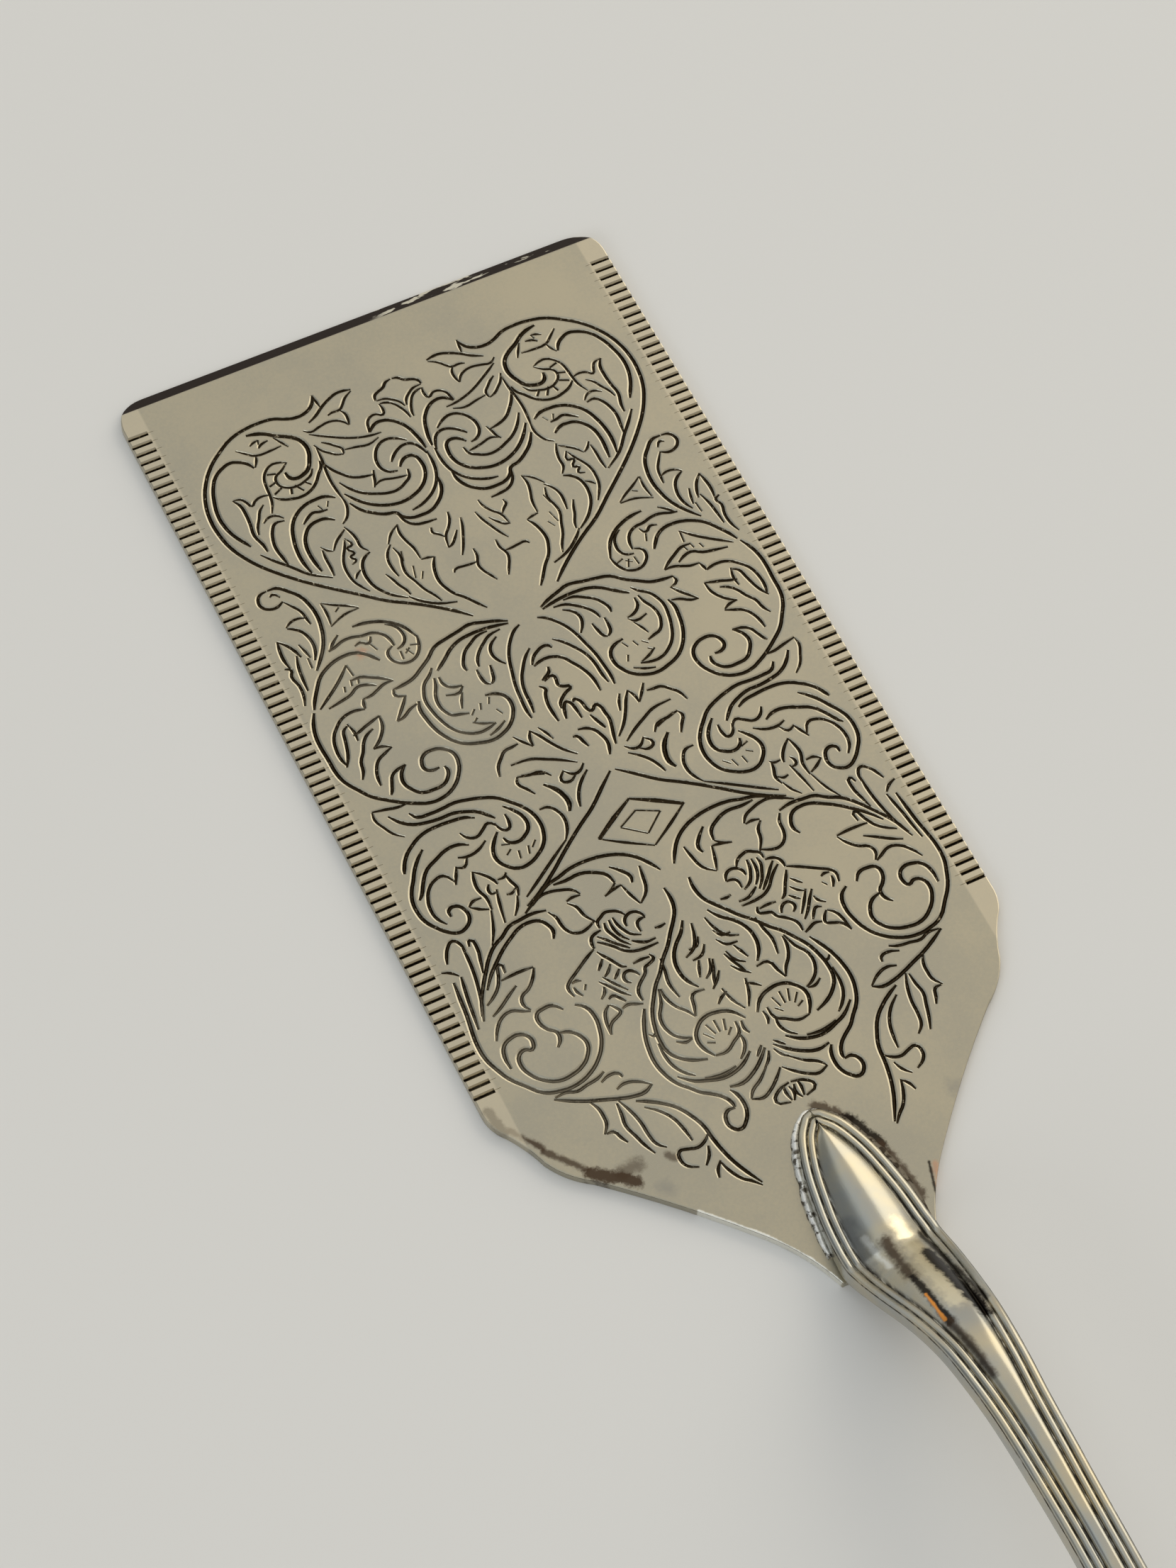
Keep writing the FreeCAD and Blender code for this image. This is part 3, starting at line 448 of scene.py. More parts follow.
    (0.40, [(26.3, 13.7), (25.5, 12.8), (25.0, 11.8), (24.7, 10.8)]),
    (0.40, [(26.3, 13.7), (26.5, 12.7), (26.6, 11.3), (26.4, 10.0)]),
    (0.35, [(24.3, 12.4), (24.0, 11.3), (23.8, 10.3)]),
    (0.35, [(16.3, 14.0), (17.5, 14.8), (18.6, 15.4), (19.8, 16.2)]),
    (0.35, [(19.9, 16.2), (19.8, 14.8), (20.0, 13.2)]),
    (0.35, [(16.3, 13.9), (18.1, 13.8), (20.1, 13.0)]),
    (0.45, [(12.0, 7.8), (12.9, 9.7), (14.0, 10.8), (15.3, 11.5), (16.7, 11.9), (18.0, 12.0)]),
    (0.40, [(19.9, 11.7), (20.9, 10.9), (21.5, 10.2)]),
    (0.40, [(14.8, 7.8), (14.9, 8.8), (15.4, 9.8), (16.4, 10.4), (17.5, 10.5), (18.6, 10.8), (19.7, 10.8),
     (20.9, 10.4), (21.7, 10.2)]),
    (0.45, [(17.0, 6.8), (17.5, 7.5), (18.3, 8.4), (19.3, 8.9), (20.5, 9.0), (21.7, 8.8), (22.9, 8.3),
     (23.9, 7.6), (24.9, 6.3), (25.7, 5.1), (26.2, 4.1)]),
    (0.45, [(26.4, 3.8), (27.0, 2.6), (27.4, 1.2), (27.5, -0.3), (27.4, -2.1), (27.3, -4.2), (26.9, -5.5),
     (26.1, -6.8), (25.1, -8.2), (23.9, -9.2), (22.5, -10.2), (21.1, -11.0), (19.6, -11.6), (18.1, -11.6),
     (16.6, -11.0), (15.4, -9.8), (14.7, -8.2), (14.8, -7.0), (15.5, -6.2), (16.6, -5.8), (17.8, -6.0),
     (18.4, -6.8), (18.4, -7.6), (17.7, -8.1), (16.9, -8.1)]),
    (0.45, [(16.3, -8.2), (16.2, -8.8), (16.6, -9.6), (17.4, -10.2), (18.6, -10.3), (19.9, -10.1),
     (20.7, -9.3), (21.2, -8.3), (21.1, -7.4), (20.6, -6.6), (20.1, -6.2)]),
    (0.40, [(20.1, -6.2), (21.1, -6.4), (21.9, -6.8), (22.4, -7.7), (22.8, -8.6), (23.1, -9.0)]),
    (0.40, [(20.5, -3.6), (21.5, -4.0), (22.5, -4.5), (23.2, -5.5), (23.5, -6.5), (23.6, -7.5)]),
    (0.40, [(20.6, -3.5), (21.4, -3.1), (22.4, -3.0)]),
    (0.40, [(22.4, -3.0), (21.6, -2.5), (20.9, -1.8), (20.3, -0.8), (20.1, 0.5)]),
    (0.40, [(20.1, 0.5), (21.1, 0.2), (22.1, -0.1), (22.9, -0.4), (23.7, -0.6)]),
    (0.40, [(21.4, -0.7), (22.3, -1.1), (23.0, -1.8), (23.6, -2.9), (24.3, -3.9), (24.6, -5.1),
     (25.1, -6.0)]),
    (0.40, [(21.1, 1.9), (21.7, 2.1), (22.7, 2.2), (23.9, 1.9), (24.9, 1.1), (25.7, 0.1), (26.1, -1.3),
     (26.1, -2.8), (25.8, -3.8)]),
    (0.40, [(23.8, 0.8), (24.4, 0.4), (24.7, -0.6), (25.0, -1.8), (25.4, -2.9), (26.0, -3.9)]),
    (0.40, [(21.0, 5.8), (19.9, 5.8), (18.7, 5.2), (17.7, 4.6), (16.8, 3.9)]),
    (0.40, [(16.8, 3.9), (17.9, 3.9), (18.7, 3.6), (19.7, 3.2), (20.8, 3.1)]),
    (0.40, [(20.8, 3.1), (21.0, 2.5), (21.1, 1.9)]),
    (0.40, [(18.7, 4.1), (19.6, 4.6), (20.7, 4.8), (21.8, 4.2), (23.1, 3.9), (24.7, 3.6)]),
    (0.40, [(20.5, 6.2), (20.7, 7.8)]),
    (0.40, [(20.7, 7.8), (21.7, 6.8), (22.9, 5.8), (24.3, 4.8), (25.6, 3.9)]),
    (0.38, [(12.0, 8.0), (12.2, 7.0), (12.7, 6.0), (13.5, 5.4), (14.5, 5.3), (15.4, 5.8), (15.9, 6.6),
     (15.8, 7.4), (15.0, 7.9)]),
    (0.38, [(14.6, 10.8), (13.7, 10.1), (13.3, 9.1), (13.4, 8.1), (14.0, 7.5), (14.7, 7.3)]),
    (0.38, [(12.3, 6.9), (13.2, 7.2)]),
    (0.38, [(13.3, 5.9), (13.8, 6.9)]),
    (0.38, [(14.6, 5.8), (14.5, 6.9)]),
    (0.38, [(16.7, 10.0), (17.2, 9.3), (18.0, 9.8), (18.8, 9.6)]),
    (0.38, [(17.1, 9.1), (16.7, 8.1)]),
    (0.38, [(27.0, 10.2), (26.4, 9.8), (26.7, 9.0), (26.4, 7.6), (26.5, 6.2), (26.9, 5.0)]),
    (0.38, [(25.1, 11.2), (25.5, 9.8), (25.7, 8.2), (25.8, 6.6)]),
    (0.38, [(24.1, 10.4), (24.2, 9.0)]),
    (0.38, [(21.0, 5.9), (21.2, 5.1)]),
    (0.38, [(22.0, 5.4), (22.2, 4.7)]),
    (0.38, [(20.2, 5.7), (20.4, 5.1)]),
    (0.38, [(23.7, 1.0), (23.4, -0.2), (23.5, -1.4)]),
    (0.38, [(24.7, 19.3), (24.2, 19.5), (23.6, 18.8)]),
    (0.38, [(18.3, 14.9), (18.9, 14.5)]),
    # winged leaf, beaded spirals, second scrolls and diamond field
    (0.45, [(2.0, 5.4), (3.1, 5.9), (4.6, 6.4), (6.1, 6.8), (7.7, 6.5), (9.4, 6.2), (10.9, 5.8), (12.1, 4.8),
     (13.5, 3.9), (14.7, 3.2), (16.1, 2.9), (17.3, 2.8)]),
    (0.40, [(17.3, 2.8), (17.4, 2.1), (16.3, 1.5)]),
    (0.40, [(16.4, 1.6), (17.0, 0.8), (17.6, 0.1), (18.6, -1.0)]),
    (0.40, [(18.6, -1.0), (17.7, -0.8), (16.7, -0.2), (15.7, 0.1)]),
    (0.45, [(2.1, 5.1), (3.5, 5.4), (5.1, 5.6), (6.7, 5.6), (8.1, 5.4), (9.4, 4.8), (10.4, 4.0), (11.2, 3.4),
     (11.9, 2.9)]),
    (0.40, [(4.7, 5.2), (6.0, 5.1), (7.1, 4.5), (8.0, 3.9), (8.6, 3.1), (9.0, 2.1), (8.9, 1.5)]),
    (0.40, [(3.3, 4.8), (4.7, 4.6), (5.8, 3.9), (6.7, 3.1), (7.3, 2.2), (7.5, 1.4)]),
    (0.40, [(4.1, 4.1), (5.1, 3.4), (5.5, 2.5), (5.3, 1.5), (4.6, 0.5)]),
    (0.40, [(6.3, 1.1), (6.5, 0.1), (6.8, -0.8), (7.2, -1.1)]),
    (0.40, [(7.2, -1.1), (7.7, -0.7), (7.9, 0.1), (7.9, 1.2)]),
    (0.40, [(1.1, 4.4), (1.9, 4.0), (2.8, 3.1), (3.6, 1.9), (4.1, 0.7), (4.5, -0.8), (4.9, -2.4),
     (5.1, -4.2), (5.2, -5.8), (5.1, -6.9)]),
    (0.40, [(1.4, 1.2), (2.3, 0.4), (3.2, -0.8), (3.9, -2.0), (4.3, -3.5), (4.4, -5.2), (4.6, -6.4)]),
    (0.45, [(15.4, 0.3), (15.7, -0.7), (15.6, -1.9), (15.3, -3.4), (14.7, -4.8), (13.9, -5.9), (12.9, -6.7),
     (11.6, -7.2), (10.1, -7.5), (8.7, -7.2), (7.5, -6.5), (6.7, -5.5), (6.3, -4.4), (6.5, -3.1),
     (7.3, -2.4), (8.5, -2.1)]),
    (0.40, [(12.3, 3.5), (12.9, 2.8), (13.9, 2.0), (14.4, 1.1), (14.7, 0.1), (14.6, -1.3), (14.2, -2.9),
     (13.5, -4.4), (12.5, -5.4), (11.3, -6.0), (10.0, -6.0), (8.9, -5.7)]),
    (0.40, [(12.6, 2.2), (12.9, 1.2), (13.4, 0.2), (13.6, -1.0), (13.4, -1.9), (12.8, -2.8), (11.9, -3.1),
     (11.0, -3.4)]),
    (0.40, [(12.1, 2.1), (12.0, 1.1), (11.1, 0.3), (10.2, 0.1)]),
    (0.40, [(10.2, 0.0), (10.9, -0.6), (12.4, -0.3)]),
    (0.35, [(10.6, -0.7), (11.1, -1.6), (11.5, -2.6)]),
    (0.40, [(21.9, -10.6), (23.1, -10.6), (24.4, -10.3), (25.9, -10.0)]),
    (0.35, [(25.9, -10.1), (26.0, -11.0), (25.5, -12.2), (24.9, -13.3), (23.9, -14.2)]),
    (0.45, [(24.5, -11.2), (23.7, -12.3), (22.5, -13.2), (21.1, -13.6), (19.5, -13.8), (18.1, -13.8),
     (16.7, -14.2), (15.5, -14.8), (14.7, -15.6), (14.1, -16.3)]),
    (0.45, [(22.3, -11.8), (21.7, -12.6), (20.4, -12.8), (18.8, -12.8), (17.4, -12.7), (15.8, -13.0),
     (14.2, -13.5), (12.8, -14.2), (11.8, -15.2), (11.0, -16.1), (10.3, -17.3), (10.0, -18.8), (10.2, -20.1),
     (10.8, -21.3), (11.9, -22.2), (13.2, -22.8), (14.5, -22.8), (15.6, -22.0), (16.2, -20.9), (16.1, -19.8),
     (15.5, -18.8), (14.7, -17.9)]),
    (0.45, [(12.8, -15.3), (11.9, -16.3), (11.3, -17.5), (11.4, -18.8), (12.1, -19.5), (13.2, -19.9),
     (14.1, -19.5), (14.4, -18.8)]),
    (0.40, [(13.0, -16.3), (13.0, -17.3), (13.4, -18.1), (14.1, -17.8), (14.5, -16.8)]),
    (0.40, [(14.3, -17.3), (15.1, -16.5), (16.0, -17.0), (17.0, -17.5), (17.9, -17.1), (18.4, -16.3)]),
    (0.45, [(16.1, -15.3), (17.1, -14.8), (18.6, -14.6), (20.1, -14.5), (22.1, -14.7), (23.7, -15.5),
     (24.9, -16.5), (25.7, -17.8), (25.9, -18.3)]),
    (0.45, [(22.9, -16.4), (23.9, -17.3), (24.8, -18.4), (25.4, -19.4), (26.0, -20.3), (26.5, -21.5),
     (26.6, -22.9), (26.3, -24.3), (25.6, -25.4), (24.7, -26.4), (23.6, -27.0), (22.7, -26.8), (21.9, -26.0),
     (21.9, -24.8), (22.6, -24.0), (23.5, -24.2), (23.6, -25.0)]),
    (0.45, [(18.1, -18.0), (19.1, -17.5), (20.6, -17.5), (22.1, -18.1), (23.5, -18.8), (24.5, -20.0),
     (25.3, -21.3), (25.8, -21.8)]),
    (0.40, [(16.3, -18.3), (17.5, -19.0), (18.9, -19.2), (19.9, -18.9)]),
    (0.40, [(19.0, -19.3), (19.7, -20.2), (20.6, -19.9)]),
    (0.40, [(20.5, -19.8), (21.0, -20.8), (21.5, -21.8)]),
    (0.40, [(21.4, -21.4), (22.2, -20.2), (23.3, -20.3), (24.2, -20.9), (24.9, -22.0), (25.2, -23.3),
     (25.0, -24.6), (24.3, -25.6)]),
    (0.40, [(19.2, -21.1), (18.3, -21.9), (17.6, -22.9), (17.4, -23.6)]),
    (0.40, [(19.2, -21.1), (19.5, -22.1), (19.6, -23.3), (19.2, -24.5), (19.3, -26.1)]),
    (0.40, [(16.2, -22.8), (16.0, -23.8), (15.7, -24.8), (16.0, -25.8)]),
    (0.40, [(19.7, -24.3), (20.7, -24.3), (21.4, -24.8)]),
    (0.40, [(21.3, -24.8), (20.5, -25.4), (19.5, -25.9)]),
    (0.40, [(2.5, -13.0), (3.7, -11.8), (4.7, -10.3), (5.3, -9.2), (6.0, -8.2)]),
    (0.40, [(6.0, -8.2), (6.4, -9.0), (6.5, -10.1)]),
    (0.40, [(6.5, -10.1), (7.3, -9.1), (8.0, -8.1)]),
    (0.40, [(7.9, -9.1), (8.7, -9.2), (9.6, -9.3), (10.4, -10.0), (11.1, -10.8), (11.5, -12.0)]),
    (0.40, [(3.0, -13.9), (4.5, -12.9), (6.0, -12.1), (7.5, -11.4), (9.8, -11.2)]),
    (0.40, [(6.3, -14.2), (7.1, -13.3), (8.5, -13.1), (9.8, -12.8)]),
    (0.40, [(9.8, -12.8), (10.1, -13.5), (9.5, -14.5), (8.9, -15.5)]),
    (0.40, [(2.5, -14.3), (3.3, -15.0), (4.1, -15.0), (4.9, -14.2)]),
    (0.40, [(4.9, -14.2), (5.6, -15.2), (4.8, -15.7), (3.9, -15.2)]),
    (0.40, [(2.5, -15.2), (3.5, -16.0), (4.3, -16.9), (4.9, -18.0), (5.2, -19.0)]),
    (0.55, [(7.6, -14.8), (6.7, -15.8), (6.2, -16.9), (6.1, -18.1), (6.5, -19.0)]),
    (0.40, [(9.4, -17.4), (8.4, -17.5), (7.7, -18.3), (7.4, -19.5), (7.7, -20.8), (8.4, -21.9)]),
    (0.45, [(0.3, -16.4), (2.1, -17.9), (4.1, -19.6), (6.1, -20.9), (8.1, -22.3), (9.7, -23.5),
     (11.4, -24.8), (13.5, -26.2), (15.7, -27.3)]),
    (0.40, [(8.4, -21.9), (10.6, -23.3), (12.0, -24.2), (13.7, -25.3), (15.3, -26.3)]),
    (0.45, [(0.1, -20.4), (2.5, -21.8), (5.0, -23.4)]),
    (0.45, [(0.0, -20.3), (2.6, -21.7), (5.2, -23.3)]),
    (0.40, [(5.2, -23.3), (2.8, -24.9), (0.0, -26.6)]),
    (0.40, [(0.0, -21.9), (2.4, -23.1)]),
    (0.40, [(2.4, -23.1), (0.0, -25.0)]),
    (0.38, [(4.1, -10.2), (4.5, -9.1), (5.0, -8.2)]),
    (0.38, [(6.9, -13.7), (8.0, -13.2), (9.3, -12.8)]),
    (0.38, [(11.2, -4.6), (10.2, -5.2), (9.1, -5.6)]),
    (0.38, [(7.9, -5.9), (9.0, -6.5), (10.2, -6.9)]),
    (0.38, [(8.2, -2.5), (8.6, -3.3)]),
    (0.38, [(9.4, -2.8), (9.7, -3.6)]),
    (0.38, [(10.3, -3.2), (10.9, -3.8)]),
    (0.38, [(8.1, -4.2), (7.7, -5.0)]),
    (0.38, [(10.5, -4.3), (11.0, -4.7)]),
    (0.38, [(16.1, -25.7), (16.6, -26.8), (17.4, -27.8)]),
    (0.38, [(16.0, -22.7), (16.4, -23.1), (17.2, -23.1)]),
    (0.38, [(15.9, -24.8), (16.5, -25.2), (17.1, -25.1)]),
    (0.38, [(18.3, -23.2), (18.6, -23.7), (18.5, -24.3), (17.9, -24.4)]),
    (0.38, [(17.8, -24.1), (18.2, -25.6), (18.7, -28.1)]),
    (0.38, [(19.4, -26.1), (20.2, -28.3), (21.1, -29.9)]),
    (0.38, [(11.4, -20.5), (12.1, -21.2)]),
    (0.38, [(12.4, -20.8), (12.7, -21.8)]),
    (0.38, [(13.6, -20.9), (13.8, -21.9)]),
    (0.38, [(14.3, -20.4), (15.0, -20.9)]),
    (0.38, [(14.1, -19.8), (15.0, -19.5)]),
    # arches, lower scroll, lyre and foot
    (0.45, [(0.8, -29.5), (1.5, -28.3), (2.4, -27.1), (3.7, -26.1), (5.5, -25.4), (7.6, -25.1), (9.7, -25.2),
     (11.1, -25.6), (12.6, -25.9), (14.6, -27.0), (16.3, -28.0)]),
    (0.45, [(6.0, -28.8), (6.3, -27.6), (7.3, -26.8), (8.9, -26.2), (10.7, -26.3), (12.1, -26.2)]),
    (0.45, [(5.7, -26.8), (4.7, -27.8), (4.1, -28.8), (4.3, -29.6)]),
    (0.40, [(2.7, -28.1), (2.9, -29.3), (3.4, -31.1), (4.6, -32.2)]),
    (0.40, [(4.6, -32.2), (5.1, -30.8), (5.5, -29.3)]),
    (0.40, [(5.5, -29.3), (6.3, -29.4), (7.7, -29.8)]),
    (0.40, [(6.0, -28.8), (6.9, -29.5), (7.7, -29.8)]),
    (0.40, [(9.9, -28.4), (10.5, -27.6), (11.6, -27.1), (12.7, -26.8), (13.9, -26.8), (15.2, -27.5)]),
    (0.40, [(10.0, -28.5), (10.9, -28.4), (11.7, -28.6)]),
    (0.40, [(11.7, -28.8), (11.0, -29.6), (10.7, -30.8), (9.9, -32.1)]),
    (0.40, [(10.0, -31.9), (11.1, -32.4), (12.1, -32.5), (13.0, -31.9), (13.4, -30.9), (13.5, -29.8),
     (14.0, -28.9)]),
    (0.45, [(14.1, -28.6), (15.6, -28.3), (17.0, -28.4), (18.5, -28.6), (19.7, -29.4), (20.9, -30.0),
     (22.1, -31.1), (23.1, -32.4), (24.1, -33.8), (24.9, -35.1), (25.7, -36.9)]),
    (0.45, [(14.9, -32.0), (14.5, -31.1), (14.7, -30.2), (15.3, -29.4), (16.3, -29.1), (17.5, -29.2),
     (18.9, -29.9), (20.3, -30.8), (21.5, -31.8), (22.7, -32.9), (23.9, -34.4)]),
    (0.45, [(26.7, -32.1), (26.9, -34.1), (27.1, -36.1), (27.4, -37.9), (27.6, -39.6), (27.5, -41.4),
     (27.0, -42.9), (26.3, -44.4), (25.1, -45.9), (23.7, -47.4), (22.1, -48.0), (20.1, -48.1), (18.3, -47.5),
     (16.9, -46.5), (15.8, -45.1), (15.2, -43.5), (15.0, -41.9), (15.4, -40.5), (16.3, -39.8)]),
    (0.45, [(19.3, -42.0), (18.1, -42.4), (17.3, -43.4), (17.1, -44.4), (17.6, -45.5), (18.6, -46.4),
     (20.1, -46.9), (21.7, -46.9), (23.1, -46.1), (24.1, -44.9), (24.5, -43.5), (24.1, -42.5), (23.3, -42.2),
     (22.6, -42.5), (22.2, -41.9), (22.3, -41.0), (23.0, -40.4), (24.1, -40.4), (25.1, -40.9), (25.6, -42.0),
     (25.6, -43.6)]),
    (0.45, [(20.1, -43.5), (19.5, -42.8), (19.4, -41.8), (20.1, -41.1), (20.6, -40.1), (20.4, -39.1),
     (19.5, -38.8), (18.4, -38.9), (17.6, -39.8)]),
    (0.40, [(25.7, -31.8), (25.9, -32.9), (26.2, -34.6), (26.4, -36.1), (26.7, -38.1)]),
    (0.40, [(24.0, -29.3), (24.1, -28.3), (24.7, -27.6), (25.5, -28.1), (26.1, -29.1), (26.4, -29.9)]),
    (0.40, [(27.4, -30.5), (26.5, -30.9), (25.8, -31.6)]),
    (0.40, [(24.1, -28.8), (24.1, -30.1), (24.3, -32.1), (24.7, -34.1), (25.1, -35.6), (25.8, -37.5)]),
    (0.40, [(23.4, -29.0), (23.0, -28.3), (22.7, -29.5), (23.0, -30.9), (23.4, -32.4)]),
    (0.40, [(18.3, -34.0), (19.5, -33.9), (20.7, -33.9), (22.1, -34.0)]),
    (0.40, [(21.3, -33.4), (21.4, -32.2), (22.1, -33.4), (22.7, -34.5), (23.7, -35.4), (24.7, -36.0)]),
    (0.40, [(18.3, -34.1), (18.9, -35.1), (19.9, -36.1), (20.9, -36.6), (21.2, -37.5), (20.7, -38.4)]),
    (0.40, [(20.8, -38.5), (21.6, -38.1), (22.7, -37.6), (23.9, -37.9), (24.9, -38.9), (25.6, -40.1)]),
    (0.40, [(20.9, -35.2), (22.1, -35.9), (23.5, -36.8), (24.7, -37.4)]),
    (0.45, [(1.5, -31.6), (1.4, -32.9), (1.7, -34.4), (2.4, -35.5), (3.3, -36.6), (4.3, -37.9), (5.5, -39.1),
     (6.5, -40.4), (7.5, -41.4), (8.5, -42.8), (9.3, -44.1), (9.8, -45.5), (10.1, -47.4), (9.9, -48.9),
     (9.1, -50.0), (8.0, -50.8), (6.5, -51.4)]),
    (0.45, [(9.9, -43.4), (10.5, -44.5), (11.2, -46.1), (11.6, -47.8), (11.7, -49.4), (11.4, -50.9),
     (10.7, -52.4), (9.7, -53.5), (8.9, -54.4), (7.9, -55.1), (7.0, -55.9), (6.5, -56.9), (6.5, -57.5)]),
    (0.45, [(6.5, -57.5), (7.4, -57.5), (8.0, -58.4), (7.8, -59.4), (7.0, -59.9), (6.2, -59.4), (5.6, -58.5),
     (5.4, -57.4), (5.6, -56.2), (6.0, -55.5)]),
    (0.45, [(10.3, -51.8), (8.9, -53.0), (7.7, -53.5), (6.1, -54.0), (4.6, -53.9), (3.3, -53.4),
     (2.1, -52.5)]),
    (0.45, [(0.5, -52.8), (1.5, -53.8), (2.9, -54.8), (4.5, -55.4), (5.9, -55.2)]),
    (0.45, [(1.5, -35.9), (2.3, -37.1), (3.4, -38.1), (4.3, -39.4), (4.6, -40.9), (4.3, -42.4),
     (3.5, -43.6)]),
    (0.40, [(0.8, -36.6), (1.2, -38.1), (2.0, -39.4), (3.2, -40.0)]),
    (0.40, [(5.7, -38.9), (5.9, -40.4), (6.2, -41.9), (5.9, -43.8)]),
    (0.40, [(3.1, -44.1), (4.5, -44.1), (5.0, -45.4), (5.4, -46.5)]),
    (0.40, [(5.4, -46.5), (6.0, -45.4), (6.7, -44.6), (7.3, -43.1), (7.3, -42.1)]),
    (0.40, [(7.5, -42.0), (8.0, -43.6), (8.9, -45.1), (8.7, -47.0), (7.7, -48.1), (6.8, -48.5)]),
    (0.40, [(0.7, -39.4), (1.5, -40.4), (2.7, -40.6)]),
    (0.40, [(1.0, -41.1), (1.5, -42.4), (2.4, -43.1)]),
    (0.40, [(0.2, -47.9), (1.0, -46.4), (1.4, -44.8)]),
    (0.45, [(0.7, -48.9), (1.7, -47.6), (3.1, -47.0), (4.7, -47.0), (5.9, -47.8), (6.5, -48.9), (6.3, -50.2),
     (5.6, -51.4)]),
    (0.40, [(1.9, -48.8), (2.1, -50.1), (3.1, -50.8), (4.3, -51.5), (5.6, -51.4)]),
    (0.40, [(0.1, -55.5), (1.1, -56.5), (2.3, -57.4), (3.3, -57.8), (4.5, -57.4)]),
    (0.40, [(1.4, -54.8), (2.7, -55.9), (3.9, -56.6), (4.5, -57.4)]),
    (0.40, [(0.1, -57.4), (1.5, -57.8), (2.3, -58.8), (0.9, -59.5)]),
    (0.40, [(22.9, -48.5), (21.6, -48.4), (20.5, -48.8), (19.3, -48.6), (17.9, -48.4), (17.0, -48.0)]),
    (0.40, [(17.8, -49.0), (16.7, -48.6), (15.7, -48.8), (15.5, -49.4)]),
    (0.40, [(16.7, -50.4), (15.7, -50.1), (14.3, -50.5), (13.1, -51.4)]),
    (0.45, [(13.1, -51.4), (14.1, -51.9), (15.5, -51.8), (16.9, -51.4), (18.5, -50.8), (20.1, -50.2),
     (21.7, -49.4), (23.1, -48.6)]),
    (0.45, [(15.5, -52.4), (14.5, -52.9), (13.1, -53.8), (11.9, -54.9), (11.0, -56.4), (10.4, -57.9),
     (10.2, -59.5), (9.9, -61.1), (9.4, -62.8), (8.7, -64.4), (7.8, -66.1)]),
    (0.40, [(15.0, -53.4), (13.7, -54.5), (12.8, -55.9), (12.4, -57.4), (12.2, -58.9)]),
    (0.40, [(10.4, -58.9), (11.1, -59.5), (12.1, -59.8), (13.1, -59.5), (14.0, -59.4), (14.3, -60.4),
     (13.9, -61.2), (12.9, -61.8)]),
    (0.40, [(11.0, -60.1), (11.4, -61.1), (12.2, -62.0)]),
    (0.40, [(10.6, -62.1), (11.3, -62.9), (11.6, -63.8)]),
    (0.40, [(10.7, -62.1), (10.3, -63.4), (9.5, -64.8), (8.7, -65.5), (7.9, -66.4)]),
    (0.40, [(17.1, -51.6), (16.5, -53.1), (16.1, -54.8), (16.0, -56.4), (15.7, -57.6), (14.9, -58.4)]),
    (0.40, [(17.4, -51.8), (17.5, -53.1), (17.7, -54.4), (17.3, -55.8), (16.9, -57.1), (16.3, -58.5)]),
    (0.40, [(19.9, -50.4), (19.4, -51.4), (19.3, -52.5), (19.4, -53.4), (20.1, -54.4)]),
    (0.40, [(19.9, -54.4), (19.1, -54.5), (18.7, -55.4), (18.3, -56.2)]),
    (0.40, [(4.9, -33.8), (5.2, -33.1), (5.8, -32.7), (6.6, -32.8), (7.1, -33.3), (7.2, -34.0)]),
    (0.40, [(6.7, -32.7), (7.2, -32.0), (8.0, -31.6), (8.6, -31.5), (9.2, -31.8), (9.8, -32.2),
     (9.9, -33.0)]),
    (0.40, [(4.9, -33.8), (5.5, -33.8), (6.0, -34.1), (6.1, -35.2)]),
    (0.40, [(8.1, -32.4), (8.0, -33.3), (7.7, -34.1), (7.2, -34.9), (6.2, -35.5)]),
    (0.40, [(8.6, -32.5), (8.6, -33.6), (8.3, -34.6), (7.6, -35.5)]),
    (0.40, [(9.2, -32.6), (9.3, -33.4), (9.0, -34.2), (8.5, -35.2), (7.7, -36.1)]),
    (0.40, [(9.9, -33.2), (10.6, -33.3), (11.2, -33.6), (11.5, -34.3), (11.5, -34.9)]),
    (0.40, [(10.6, -33.7), (9.9, -34.4), (9.3, -35.1), (8.6, -35.8), (8.0, -36.4)]),
    (0.40, [(10.9, -34.3), (10.1, -34.9), (9.4, -35.6), (8.8, -36.3), (7.8, -36.9), (6.5, -37.1),
     (5.0, -37.1)]),
    (0.40, [(5.0, -36.5), (6.1, -36.5), (6.9, -36.1), (7.5, -35.7)]),
    (0.40, [(3.3, -35.4), (4.0, -35.5), (4.6, -35.4)]),
    (0.40, [(11.6, -34.9), (12.6, -35.4), (13.8, -36.1), (14.8, -36.7), (15.6, -37.2), (16.1, -37.8),
     (15.9, -39.0)]),
    (0.40, [(15.5, -37.5), (14.9, -37.4), (14.4, -37.6)]),
    (0.40, [(15.5, -38.0), (15.4, -38.6), (15.0, -39.3)]),
    (0.40, [(14.2, -38.2), (14.6, -38.8)]),
    (0.40, [(11.4, -35.3), (11.0, -36.0), (10.6, -36.6), (10.2, -37.3), (9.8, -37.9), (9.3, -38.2)]),
    (0.40, [(11.3, -36.3), (11.8, -36.9), (12.3, -37.4)]),
    (0.40, [(10.8, -37.2), (11.4, -37.9), (12.0, -38.3)]),
    (0.40, [(10.2, -38.1), (10.7, -38.6), (11.2, -39.0)]),
    (0.40, [(12.8, -38.5), (12.0, -39.5), (11.2, -40.6), (10.4, -41.4)]),
    (0.40, [(12.2, -38.2), (11.4, -39.4), (10.4, -40.7)]),
    (0.40, [(12.6, -39.3), (12.8, -39.9), (13.5, -40.5)]),
    (0.40, [(12.8, -40.8), (12.2, -40.6), (11.6, -41.2), (11.2, -41.8)]),
